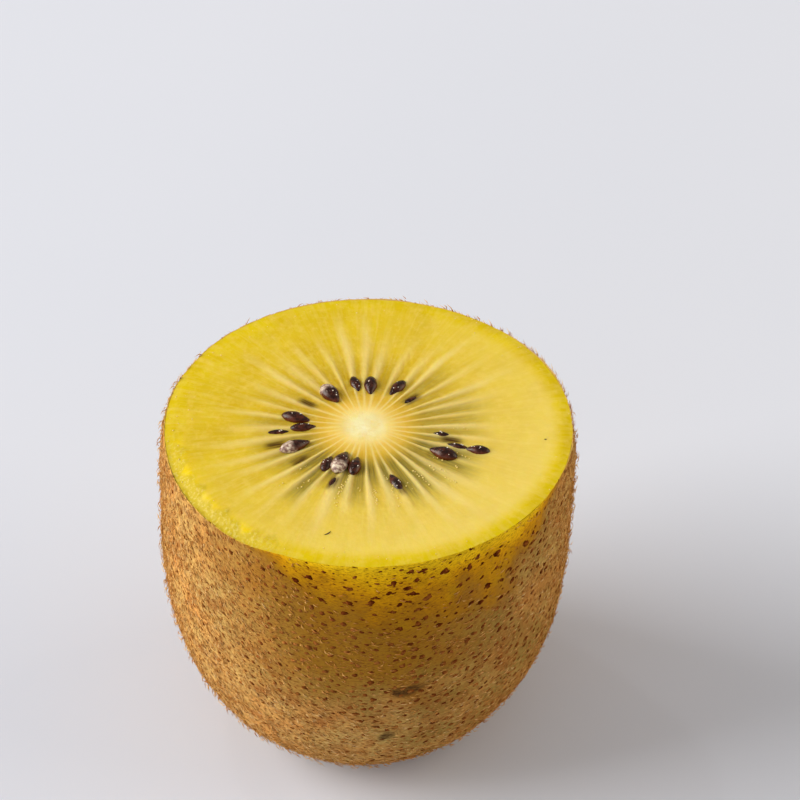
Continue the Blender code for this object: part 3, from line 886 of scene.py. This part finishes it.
def on_seed(points, degrees, out, lean, deep):
    """Points round a seed's middle, its length along X, moved to where that seed lies on the cut."""
    x, y = on_face(np.array(out * MM), np.array(math.radians(degrees)))
    turn = math.radians(degrees + lean)
    cos, sin = math.cos(turn), math.sin(turn)
    turned = points @ np.array([[cos, sin, 0.0], [-sin, cos, 0.0], [0.0, 0.0, 1.0]])
    return turned + (float(x), float(y), CUT_HEIGHT - deep * MM)


print(f"{len(SEEDS)} seeds, {min(row[2] for row in SEEDS)} to {max(row[2] for row in SEEDS)} mm long")

# %% Seeds: one shape
SEED_ROWS, SEED_SIDES = 22, 26
SEED_NARROWS, SEED_FLATNESS = 0.38, 0.78  # towards its point, and its thickness for its width
POLE = 0.12  # radians between the last ring and the seed's end
NET, CAP_LUMPS, CAP_SWELLS, CAP_ROUGH = 0.14 * MM, 0.5 * MM, 0.10, 0.05


def across_seed(u):
    """How wide a seed is at u, which runs from -1 at its point to 1, as a share of its width."""
    return np.sqrt(1.0 - u**2) * (1.0 - SEED_NARROWS * smooth_step(-u, -0.1, 1.0))


def seed_shape(length, width, cap):
    """Rings of a seed's points, and at each point how much of its margin and its cap is there."""
    u = -np.cos(np.linspace(POLE, math.pi - POLE, SEED_ROWS))
    turn = np.arange(SEED_SIDES) * TURN / SEED_SIDES
    u, turn = np.meshgrid(u, turn, indexing="ij")
    across = 0.5 * width * across_seed(u)
    margin = np.abs(np.cos(turn)) ** 6
    points = np.stack([0.5 * length * u, across * np.cos(turn), SEED_FLATNESS * across * np.sin(turn)], -1)
    flat = points.reshape(-1, 3)
    ragged = u + 0.25 * lumps(flat, CAP_LUMPS, width / MM).reshape(u.shape)
    capped = smooth_step(ragged, 0.9 - 2.0 * cap, 1.15 - 2.0 * cap) * (cap > 0)
    netted = lumps(flat, NET, length / MM).reshape(u.shape)
    points *= (1.0 + CAP_SWELLS * capped + 0.02 * netted + CAP_ROUGH * capped * netted)[..., None]
    return points, margin, capped


seed_parts, margins, caps = [], [], []
for degrees, out, length, width, lean, cap, deep in SEEDS:
    rings, margin, capped = seed_shape(length * MM, width * MM, cap)
    points, faces = wrap_rings(list(rings), rings[0].mean(0) * 1.03, rings[-1].mean(0) * 1.03)
    seed_parts.append((on_seed(points, degrees, out, lean, deep), faces))
    margins += [1.0, *margin.ravel(), 1.0]
    caps += [0.0, *capped.ravel(), float(cap > 0)]
seed_points, seed_faces = join_parts(seed_parts)
print(f"{sum(cap > 0 for cap in caps) / len(caps):.0%} of the seeds' points are under torn pulp")

# %% [markdown]
# The seed coat is hard and wet: IOR 1.5 under a thin clear coat of juice, which gives the eye small
# sharp sparks, while the net under it keeps them from joining into one smear. Real nets are a little
# finer than the 0.14 mm used here, which is the finest that still breaks up a highlight.

# %% Seeds: material
seed_look, tree, shader = new_material("kiwi seed coat, wet", {
    "IOR": 1.5, "Specular IOR Level": 0.2, "Coat Weight": 0.4, "Coat Roughness": 0.04,
})
margin_mark, cap_mark = (
    add_node(tree, "Attribute", {"attribute_name": name}, output="Fac") for name in ("margin", "cap")
)
where = add_node(tree, "TexCoord", output="Object")
net = add_node(tree, "TexVoronoi", {"Scale": 1.0 / NET, "feature": "DISTANCE_TO_EDGE"}, {"Vector": where})
patches = add_node(tree, "TexNoise", {"Scale": 1.0 / (0.5 * MM), "Detail": 3.0}, {"Vector": where})
torn_pulp = add_node(tree, "TexNoise", {"Scale": 1.0 / (0.35 * MM), "Detail": 3.0}, {"Vector": where})
coat_tone = add_node(tree, "ValToRGB", {"stops": [(0.35, "#200C07"), (0.52, "#34150C"), (0.7, "#582614")]},
                     {"Fac": patches})
cap_tone = add_node(tree, "ValToRGB", {"stops": [(0.38, "#80605A"), (0.5, "#B49A8C"), (0.64, "#E8DAC6")]},
                    {"Fac": torn_pulp})
seed_tone = lay_tones(tree, coat_tone, (
    (margin_mark, 0.0, 1.0, 0.5, "#7A361A"),
    (cap_mark, 0.0, 1.0, 1.0, cap_tone),
))
dull_patches = add_node(
    tree, "MapRange", {"From Min": 0.4, "From Max": 0.6, "To Min": 0.15, "To Max": 0.35}, {"Value": patches}
)
net_bump = add_node(tree, "Bump", {"Strength": 0.4, "Distance": 0.05 * MM}, {"Height": net})
wire(shader, {
    "Base Color": seed_tone, "Roughness": dull_patches, "Normal": net_bump, "Coat Normal": net_bump,
})
add_piece("seeds", seed_points, seed_faces, seed_look, "seed",
          {"margin": np.array(margins), "cap": np.array(caps)})

# %% [markdown]
# ## Corky specks
# Specks of cork break through the skin, about a millimetre apart and drawn out the way the hairs
# lie. Their tones run from pale tan to dark red-brown, and where the skin glows all are dark. The
# largest are there too, some in threes. Their places are random draws, the largest first, thrown
# away where they would crowd an earlier one.

# %% Corky specks: sizes
SPECK_TRIES = 12000


def way_of_hairs(share, angle, wild):
    """The way a hair lies at each place: along the skin, out of it and across."""
    out, around, down = out_of_skin(share, angle)
    rise = LIE_OF_HAIRS * np.tanh(2.2 * np.cos(angle)) + wild
    lie = around * np.cos(rise)[:, None] - down * np.sin(rise)[:, None]
    return lie, out, np.cross(out, lie)


def even_places(count, lowest=1.0):
    """Random places over the skin, as shares of its side and angles, as dense low as high."""
    share, angle = draw.uniform(0.0, lowest, 2 * count), draw.uniform(0.0, TURN, 2 * count)
    height = np.interp(share * SIDE_LENGTH, side_lengths, side_heights)
    kept = draw.uniform(0.0, 1.0, 2 * count) < outline_radius(height) / WIDEST_RADIUS
    return share[kept][:count], angle[kept][:count]


draw = np.random.default_rng(41)
share, angle = even_places(SPECK_TRIES)
places = skin_surface(share, angle)
glows = smooth_step(glow(places), 0.05, 0.6)
bare_and_shaded_places = worn_and_shaded(places) * (1.0 - glows)
lot = draw.uniform(0.0, 1.0, SPECK_TRIES)
speck_length = (0.20 + 0.17 * lot + glows * (0.24 * lot**6 - 0.10) + 0.09 * bare_and_shaded_places) * MM  # half of it
speck_length *= np.where(share < 0.012, 0.6, 1.0)  # smaller at the rim of the cut
speck_dark = 0.1 + 0.7 * draw.uniform(0.0, 1.0, SPECK_TRIES) + 0.3 * smooth_step(np.cos(angle), -0.3, 0.5)
speck_dark = np.clip(speck_dark + 1.2 * glows - 0.1 * bare_and_shaded_places, 0.0, 1.0)
speck_room = 1.2 * speck_length + (0.26 + 0.6 * draw.uniform(0.0, 1.0, SPECK_TRIES) ** 2) * MM
shortest, longest = 2 * speck_length.min() / MM, 2 * speck_length.max() / MM
print(f"{SPECK_TRIES} tries, {shortest:.1f} to {longest:.1f} mm long")

# %% Corky specks: places
CROWD_CELL = 1.6 * MM  # no speck needs more room than this, so only the cells round it are searched
IN_THREES_ABOVE = 0.88  # the draw above which a speck in the glow has two more beside it

cells_taken, chosen = {}, []
for i in np.argsort(-speck_length):
    cell = tuple(np.floor(places[i] / CROWD_CELL).astype(int))
    near = [k for dx in (-1, 0, 1) for dy in (-1, 0, 1) for dz in (-1, 0, 1)
            for k in cells_taken.get((cell[0] + dx, cell[1] + dy, cell[2] + dz), ())]
    room = np.maximum(speck_room[i], 0.6 * speck_room[near]) if near else 0.0
    if not near or all(np.linalg.norm(places[near] - places[i], axis=1) > room):
        cells_taken.setdefault(cell, []).append(i)
        chosen.append(i)
chosen = np.array(chosen)
big = chosen[(glows[chosen] > 0.3) & (lot[chosen] > IN_THREES_ABOVE)]
for turned in (0.0, 2.2):  # radians from the first neighbour to the second
    off = turned + draw.uniform(0.0, 1.6, len(big))
    out_by = speck_length[big] * draw.uniform(0.8, 1.2, len(big))
    share = np.append(share, share[big] + 0.7 * out_by * np.sin(off) / SIDE_LENGTH)
    angle = np.append(angle, angle[big] + out_by * np.cos(off) / WIDEST_RADIUS)
    chosen = np.append(chosen, len(speck_length) + np.arange(len(big)))
    speck_length = np.append(speck_length, speck_length[big] * draw.uniform(0.5, 0.8, len(big)))
    speck_dark = np.append(speck_dark, speck_dark[big])
on_side = share[chosen] > -SKIN_STEP  # a neighbour that landed past the rim is left out
chosen = chosen[on_side]
speck_places, speck_reach = skin_surface(share[chosen], angle[chosen]), speck_length[chosen]
print(f"{len(chosen)} specks, {len(big)} of them with two more beside")

# %% [markdown]
# Each speck is a low lens with a ragged outline, sunk in the skin: one point on top, a ring that
# follows the fruit's curve, and one point below. Cork is dry and full of air, wholly matt, so it
# takes its look from its tone alone, which one mark at its points sets between pale and dark.

# %% Corky specks: shape and material
SPECK_SIDES = 9
SKIN_BENDS = 21.0 * MM  # the fruit's radius, which the ring of a speck follows
SPECK_SINKS, SPECK_ROOT = 0.01 * MM, 0.15 * MM

wild = draw.normal(0.0, 0.22, len(on_side))[on_side]
slim = draw.uniform(0.3, 0.55, len(on_side))[on_side] + 0.35 * smooth_step(speck_reach, 0.3 * MM, 0.45 * MM)
ragged = draw.uniform(0.6, 1.3, (len(on_side), SPECK_SIDES))[on_side]
lie, out, side = way_of_hairs(share[chosen], angle[chosen], wild)
turn = np.arange(SPECK_SIDES) * TURN / SPECK_SIDES
along = (ragged * np.cos(turn) * speck_reach[:, None])[..., None] * lie[:, None]
across = (ragged * np.sin(turn) * (slim * speck_reach)[:, None])[..., None] * side[:, None]
ring = speck_places[:, None] + along + across - SPECK_SINKS * out[:, None]
ring = ring - ((along + across) ** 2).sum(-1, keepdims=True) / (2.0 * SKIN_BENDS) * out[:, None]
high = speck_places + (0.16 * speck_reach + 0.02 * MM)[:, None] * out
low = speck_places - SPECK_ROOT * out
speck_points = np.concatenate([high[:, None], ring, low[:, None]], 1).reshape(-1, 3)
near = np.arange(SPECK_SIDES)
beside = (near + 1) % SPECK_SIDES
fans = np.concatenate([np.stack([0 * near, 1 + near, 1 + beside], 1),
                       np.stack([0 * near + 1 + SPECK_SIDES, 1 + beside, 1 + near], 1)])
speck_faces = (fans[None] + (SPECK_SIDES + 2) * np.arange(len(chosen))[:, None, None]).reshape(-1, 3)

cork_look, tree, shader = new_material(
    "cork specks of kiwi skin", {"Roughness": 0.9, "IOR": 1.5, "Specular IOR Level": 0.0}
)
where = add_node(tree, "TexCoord", output="Object")
cork_patches = add_node(tree, "TexNoise", {"Scale": 1.0 / (0.7 * MM)}, {"Vector": where})
pale_cork, dark_cork = (
    add_node(tree, "ValToRGB", {"stops": list(zip((0.34, 0.5, 0.66), tones))}, {"Fac": cork_patches})
    for tones in (("#8A4A20", "#A0622C", "#B87E40"), ("#52200A", "#683010", "#8E5220"))
)
dark_mark = add_node(tree, "Attribute", {"attribute_name": "dark"}, output="Fac")
wire(shader, {"Base Color": lay_tones(tree, pale_cork, [(dark_mark, 0.0, 1.0, 1.0, dark_cork)])})
add_piece("cork_specks", speck_points, speck_faces.tolist(), cork_look, "skin",
          {"dark": np.repeat(speck_dark[chosen], SPECK_SIDES + 2)})

# %% [markdown]
# ## The hairs
# A golden kiwi has a thin coat of short stiff hairs. Hair curves would be the usual tool, but only
# real meshes stay with the model when it is exported, so each hair is a three-sided spike with its
# root in the skin. Real ones are about 0.05 mm thick. These are 0.08 to 0.11 mm, and the few that
# stand out 0.15 mm, because thinner ones would not show. They lie almost flat, round the fruit,
# rising to one side. There are fewer of them where the skin glows, where it was rubbed bare.

# %% Hairs: where they grow
ROOM_AT_SPECK = 0.3 * MM
speck_tree = kdtree.KDTree(len(speck_places))
for i, place in enumerate(speck_places):
    speck_tree.insert(place, i)
speck_tree.balance()


def hair_roots(count, sparse, lowest):
    """Random places over the skin: fewer where it glows or is worn, and none on a speck or bruise."""
    share, angle = even_places(count, lowest)
    places = skin_surface(share, angle)
    dense = (1.0 - sparse * smooth_step(glow(places), 0.03, 0.5)) * (1.0 - 0.4 * worn_and_shaded(places))
    dense *= 1.0 - 0.65 * gilt(places)
    dense = dense * (0.85 + 0.3 * lumps(places, 2.0 * MM, 1.0))
    kept = draw.uniform(0.0, 1.0, count) < dense
    share, angle, places = share[kept], angle[kept], places[kept]
    clear = np.array([speck_tree.find(place)[2] for place in places]) > ROOM_AT_SPECK
    clear &= bruised(places) < 0.2
    return share[clear], angle[clear]


print(f"hairs keep {ROOM_AT_SPECK / MM:.1f} mm from the middle of each of {len(speck_places)} specks")

# %% Hairs: how they lie
SPIKE = np.array([(0, 2, 1), (0, 1, 3), (1, 2, 3), (2, 0, 3)])
BENT_SPIKE = np.array([(0, 2, 1), (0, 1, 4), (0, 4, 3), (1, 2, 5), (1, 5, 4), (2, 0, 3), (2, 3, 5),
                       (3, 4, 6), (4, 5, 6), (5, 3, 6)])
ROOT_DEPTH, LOWEST_POINT = 0.05 * MM, 0.03 * MM
WILD, COMBED = math.radians(7.0), 0.15  # how far each hair, and each tuft of them, strays
BACKWARDS = 0.2  # the share of hairs that lie the other way
BEND_AT, BENT_LIFT, BENT_ASIDE = 0.45, 0.3, 0.16  # where it bends, and how it goes on from there


def hair_spikes(share, angle, length, lift, corner, bent):
    """Points, faces and marks of three-sided spikes, one for each root, straight or bent once."""
    count = len(share)
    place = skin_surface(share, angle)
    wild = draw.normal(0.0, WILD, count) + COMBED * lumps(place, 3.0 * MM, 6.0)
    lie, out, side = way_of_hairs(share, angle, wild)
    way = np.where(draw.uniform(0.0, 1.0, count) < 1.0 - BACKWARDS, 1.0, -1.0)[:, None]
    lie, side = lie * way, side * way
    first = lie * np.cos(lift)[:, None] + out * np.sin(lift)[:, None]
    later = lie * np.cos(BENT_LIFT * lift)[:, None] + out * np.sin(BENT_LIFT * lift)[:, None]
    later = later + side * draw.normal(0.0, BENT_ASIDE, count)[:, None]
    bend = place + first * (BEND_AT * length)[:, None]
    tip = bend + (later if bent else first) * ((1.0 - BEND_AT) * length)[:, None]
    corners = []
    for at, width in ((place - out * ROOT_DEPTH, 1.0), (bend, 0.8))[: 1 + bent]:
        for turn in (0.0, TURN / 3, 2 * TURN / 3):
            corners.append(at + (side * math.cos(turn) + 0.7 * out * math.sin(turn)) * width * corner)
    points = np.stack([*corners, tip], 1)
    points[..., 2] = np.maximum(points[..., 2], LOWEST_POINT)  # the floor presses the lowest ones flat
    faces = (BENT_SPIKE if bent else SPIKE)[None] + points.shape[1] * np.arange(count)[:, None, None]
    tips = np.tile([0.0] * 3 + [0.45] * 3 * bent + [1.0], count)
    return points.reshape(-1, 3), faces.reshape(-1, 3).tolist(), {"tip": tips}


print(f"a straight hair takes {len(SPIKE)} triangles and a bent one {len(BENT_SPIKE)}")

# %% [markdown]
# The hairs come in tones from pale straw to rust, each tone with one material: dry plant hair, matt,
# IOR 1.5, dark at the root, and lighter and darker in patches a millimetre wide. A little sheen
# stands for the fluff that is too fine to draw, and gives the outline its soft edge.

# %% Hairs: materials
HAIR_TONES = {  # light and dark
    "straw": ("#F8D698", "#E0AE64"), "amber": ("#F0BC74", "#CC9044"), "rust": ("#D08642", "#9A5A28"),
}
HAIR_ROOT_TONE = "#BC8A48"

hair_looks = {}
for name, (light, dark) in HAIR_TONES.items():
    hair_looks[name], tree, shader = new_material(f"kiwi hair, dry, {name}", {
        "Roughness": 0.8, "IOR": 1.5, "Specular IOR Level": 0.0,
        "Sheen Weight": 0.35, "Sheen Roughness": 0.4, "Sheen Tint": "#F6C07A",
    })
    where = add_node(tree, "TexCoord", output="Object")
    patches = add_node(tree, "TexNoise", {"Scale": 1.0 / (1.0 * MM), "Detail": 1.0}, {"Vector": where})
    hair_tone = add_node(tree, "ValToRGB", {"stops": [(0.38, dark), (0.6, light)]}, {"Fac": patches})
    tip = add_node(tree, "Attribute", {"attribute_name": "tip"}, output="Fac")
    wire(shader, {"Base Color": lay_tones(tree, HAIR_ROOT_TONE, [(tip, 0.0, 0.7, 1.0, hair_tone)])})
print("hair materials:", ", ".join(hair_looks))

# %% [markdown]
# The coat has four layers: short straight hairs close to the skin, longer bent ones over them, a few
# that stand out and make the fringe round the outline, and tiny ones on the rim of the cut. The
# tones are mixed at random, with more rust low down, where the coat is thickest, and at the worn
# front, where the darker rust is also painted shade. Each layer and tone is a piece of its own,
# which keeps every piece light.

# %% Hairs: layers
HAIR_LAYERS = (
    # name, how many, how sparse where bare, mm long, degrees of lift, mm from its middle to a corner,
    # bent or not, and the share of the side that it grows on
    ("short", 46000, 0.8, (0.4, 0.8), (8.0, 30.0), 0.05, False, 1.0),
    ("tufted", 22000, 0.93, (0.7, 1.25), (6.0, 26.0), 0.072, True, 1.0),
    ("stray", 5200, 0.7, (0.6, 1.1), (50.0, 88.0), 0.1, True, 1.0),
    ("rim", 1600, 0.95, (0.25, 0.65), (30.0, 85.0), 0.06, False, 0.01),
)
TONE_DRAWS = (("straw", -1.0, 0.40), ("amber", 0.40, 0.80), ("rust", 0.80, 9.0))  # the draws that give it
LOW_DOWN = (1.0 * MM, 14.0 * MM)

draw = np.random.default_rng(23)
for layer, count, sparse, lengths, lifts, corner, bent, lowest in HAIR_LAYERS:
    share, angle = hair_roots(count, sparse, lowest)
    places = on_skin(share, angle)
    low_down, worn_and_shaded_here = 1.0 - smooth_step(places[:, 2], *LOW_DOWN), worn_and_shaded(places)
    # More rust at the front stands for painted shade as well as wear.
    lot = draw.uniform(0.0, 1.0, len(share)) + 0.15 * low_down + 0.3 * worn_and_shaded_here + 0.35 * gilt(places)
    for name, least, most in TONE_DRAWS:
        chosen = (lot >= least) & (lot < most)
        number = int(chosen.sum())
        length = draw.uniform(*lengths, number) * MM * (1.0 + 0.2 * low_down[chosen])
        length *= 1.0 - 0.35 * worn_and_shaded_here[chosen]
        lift = np.radians(draw.uniform(*lifts, number))
        points, faces, marks = hair_spikes(share[chosen], angle[chosen], length, lift, corner * MM, bent)
        add_piece(f"{layer}_hairs_{name}", points, faces, hair_looks[name], "hair", marks)

# %% [markdown]
# ## The stem end
# Under the fruit, in its dimple, is the scar of the stalk: a round woody plug, with five dry sepals
# curled round it. It hardly shows, but a stranger who picks the fruit up will see it. Dry wood is
# matt and rough, and its tone runs from near black in the cracks to a dull tan.

# %% Stem end: the scar
SCAR_RADIUS, SCAR_SIDES, SCAR_TOP = 1.9 * MM, 60, 2.0 * MM
SCAR_ROUGH, SCAR_LUMPS = 0.10 * MM, 0.5 * MM
SCAR_RINGS = (  # share of its radius, mm up; the last ones are the face that looks down
    (0.9, 2.0), (1.0, 1.2), (1.0, 0.85), (0.93, 0.7), (0.75, 0.75), (0.5, 0.62), (0.25, 0.7),
)

scar_look, tree, shader = new_material("kiwi stalk scar, dry and woody", {"Roughness": 0.8, "IOR": 1.5})
where = add_node(tree, "TexCoord", output="Object")
wood = add_node(tree, "TexNoise", {"Scale": 1.0 / SCAR_LUMPS, "Detail": 4.0}, {"Vector": where})
wood_tone = add_node(tree, "ValToRGB", {"stops": [(0.35, "#3A2415"), (0.65, "#8A6238")]}, {"Fac": wood})
wood_bump = add_node(tree, "Bump", {"Strength": 0.7, "Distance": 0.15 * MM}, {"Height": wood})
wire(shader, {"Base Color": wood_tone, "Normal": wood_bump})

scar_rings = []
for share, height in SCAR_RINGS:
    ring = turned_ring(SCAR_RADIUS * share, height * MM, np.arange(SCAR_SIDES) * TURN / SCAR_SIDES)
    rough = lumps(ring, SCAR_LUMPS, 2.0)
    ring[:, 2] += SCAR_ROUGH * rough
    ring[:, :2] *= (1.0 + 0.05 * rough)[:, None]
    scar_rings.append(ring)
points, faces = wrap_rings(scar_rings, (REST_MIDDLE, 0, SCAR_TOP), (REST_MIDDLE, 0, 0.65 * MM))
add_piece("stalk_scar", points, faces, scar_look, "stem_scar")

# %% Stem end: the sepals
SEPALS, SEPAL_LENGTH, SEPAL_WIDTH, SEPAL_THICKNESS = 5, 2.6 * MM, 1.7 * MM, 0.25 * MM
SEPAL_ROWS, SEPAL_COLUMNS = 12, 7
SEPAL_HEIGHT, SEPAL_SLOPE, SEPAL_CUPPED = 0.9 * MM, 0.35 * MM, 0.18 * MM


def sepal(angle, curl):
    """One dry sepal: a thin pointed blade that leaves the scar and curls towards the skin."""
    along, across = np.linspace(0.0, 1.0, SEPAL_ROWS), np.linspace(-1.0, 1.0, SEPAL_COLUMNS)
    a, b = np.meshgrid(along, across, indexing="ij")
    half = 0.5 * SEPAL_WIDTH * (1.0 - a**2) ** 0.6 * (0.65 + 0.7 * a * (1.0 - a)) + 0.02 * MM
    x = 0.75 * SCAR_RADIUS + SEPAL_LENGTH * a
    z = SEPAL_HEIGHT - SEPAL_SLOPE * a + curl * MM * a**2 + SEPAL_CUPPED * (b * b) * (1.0 - a)
    low = np.stack([x * np.cos(angle) - half * b * np.sin(angle) + REST_MIDDLE,
                    x * np.sin(angle) + half * b * np.cos(angle), z], -1)
    low = low + 0.06 * MM * lumps(low.reshape(-1, 3), 0.6 * MM).reshape(z.shape)[..., None]
    high = low + (0.0, 0.0, SEPAL_THICKNESS)
    return [np.vstack([below, above[::-1]]) for below, above in zip(low, high)]


for i in range(SEPALS):
    rows = sepal((i + 0.3) * TURN / SEPALS, 0.1 + 0.12 * (i % 3))
    points, faces = wrap_rings(rows, rows[0].mean(0), rows[-1].mean(0))
    add_piece(f"sepal_{i + 1}", points, faces, scar_look, "stem_scar")

# %% [markdown]
# ## Juice
# Fresh cut flesh is wet: tiny beads of juice stand in the locules and near the rim, and each one
# catches the window. Juice is water and sugar, IOR 1.34, and smooth, so the eye gets a spark from it.
# Real beads this small would be clear, but only that spark would show, so they are given its tone:
# pale yellow on the flesh and nearly white on the dark seeds.

# %% Juice on the flesh
FRONT = math.radians(270.0)
ROWS_OF_BEADS, LOOSE_BEADS = 30, 70
BEAD_SIZE = (0.03 * MM, 0.11 * MM)
JUICE_LOOK = {"IOR": 1.34, "Coat Weight": 0.6}


def ball(centre, radius, squash, rows=7, sides=10):
    """A small round bead with a flattened height."""
    turn = np.arange(sides) * TURN / sides
    rings = []
    for v in np.linspace(0.0, math.pi, rows + 2)[1:-1]:
        out, up = radius * math.sin(v), radius * squash * math.cos(v)
        rings.append(np.stack([out * np.cos(turn), out * np.sin(turn), 0 * turn + up], 1) + centre)
    tall = np.array([0.0, 0.0, radius * squash])
    return wrap_rings(rings, centre + tall, centre - tall)


draw = np.random.default_rng(5)
beads = []  # where each one is, as distance and angle, and its radius
for _ in range(ROWS_OF_BEADS):
    which = math.floor((FRONT + draw.normal(0.05, 0.75)) / TURN * LOCULES)
    angle = (which + 0.5 + draw.normal(0.0, 0.1)) * TURN / LOCULES
    out = draw.uniform(7.5, 12.5) * MM
    for _ in range(draw.integers(2, 7)):
        out += draw.uniform(0.2, 0.7) * MM
        beads.append((out, angle + draw.normal(0.0, 0.012), draw.uniform(*BEAD_SIZE)))
for _ in range(LOOSE_BEADS):
    out = FACE_REACH - abs(draw.normal(0.0, 1.4)) * MM - 0.15 * MM
    beads.append((out, draw.uniform(0.0, TURN), 0.8 * draw.uniform(*BEAD_SIZE)))
bead_parts = []
for out, angle, radius in beads:
    centre = face_point(np.array([out]), np.array([angle % TURN]))[0] + (0.0, 0.0, 0.3 * radius)
    bead_parts.append(ball(centre, radius, 0.8))
# The beads' pale yellow base colour is a painted glint: the tone of the window's spark in them.
juice_glint_look, tree, shader = new_material("kiwi juice", {
    **JUICE_LOOK, "Base Color": "#F3DD84", "Roughness": 0.12, "Coat Roughness": 0.05,
})
add_piece("juice_beads", *join_parts(bead_parts), juice_glint_look, "flesh")

# %% Juice on the seeds
DROP_SIZE = (0.035 * MM, 0.085 * MM)
DRY_BELOW, DROP_STANDS = 0.3, 0.02  # mm: a seed as deep as this has no drops, and how proud one stands
drop_parts = []
for degrees, out, length, width, lean, cap, deep in SEEDS:
    for _ in range(draw.integers(2, 5) if deep < DRY_BELOW else 0):
        u, around = draw.uniform(-0.6, 0.6), math.radians(draw.uniform(50.0, 130.0))
        across = 0.5 * width * across_seed(u)
        up = SEED_FLATNESS * across * math.sin(around) + DROP_STANDS
        spot = np.array([0.5 * length * u, across * math.cos(around), up]) * MM
        centre = on_seed(spot, degrees, out, lean, deep)
        drop_parts.append(ball(centre, draw.uniform(*DROP_SIZE), 0.7, 5, 8))
# The drops' near-white base colour is a painted glint: the window's spark, standing in for clear juice.
glint_drop_look, tree, shader = new_material("kiwi juice drops, painted glint", {
    **JUICE_LOOK, "Base Color": "#FFF6EA", "Roughness": 0.1, "Coat Roughness": 0.03,
})
add_piece("seed_drops", *join_parts(drop_parts), glint_drop_look, "flesh")
print(f"{len(beads)} beads of juice on the flesh, {len(drop_parts)} drops on the seeds")

# %% [markdown]
# ## Two scraps of hair
# Two dark scraps of hair, carried in by the knife, lie on the face. Such small accidents tell the
# eye that the fruit is real. Wet plant hair is a little shiny, so it is less rough than a dry one.

# %% Scraps of hair
FLECKS = ((256.0, 17.4, 0.9, 38.0), (352.0, 19.1, 0.3, 0.0))  # degrees, mm out, mm long, degrees turned
FLECK_SIDES, FLECK_RINGS = 6, 9
FLECK_THICK, FLECK_LIFT, FLECK_END, FLECK_BOW = 0.06 * MM, 0.04 * MM, 0.03 * MM, 0.12


def scrap(degrees, out, length, turned):
    """A thin bent scrap lying on the face."""
    middle = face_point(np.array([out * MM]), np.array([math.radians(degrees)]))[0]
    way = np.array([math.cos(math.radians(turned)), math.sin(math.radians(turned)), 0.0])
    side = np.array([-way[1], way[0], 0.0])
    turn = np.arange(FLECK_SIDES) * TURN / FLECK_SIDES
    rings = []
    for t in np.linspace(-1.0, 1.0, FLECK_RINGS):
        thick = FLECK_THICK * (1.0 - 0.8 * t * t)
        centre = middle + way * (0.5 * length * MM * t) + side * (FLECK_BOW * length * MM * t * t)
        ring = np.outer(np.cos(turn), side) + np.outer(np.sin(turn), (0.0, 0.0, 1.0))
        rings.append(centre + (0.0, 0.0, FLECK_LIFT) + thick * ring)
    return wrap_rings(rings, rings[0].mean(0) - way * FLECK_END, rings[-1].mean(0) + way * FLECK_END)


fleck_look, tree, shader = new_material(
    "scrap of dark hair", {"Base Color": "#3A2A12", "Roughness": 0.6, "IOR": 1.5}
)
for i, fleck in enumerate(FLECKS):
    points, faces = scrap(*fleck)
    add_piece(f"fleck_{i + 1}", points, faces, fleck_look, "hair")
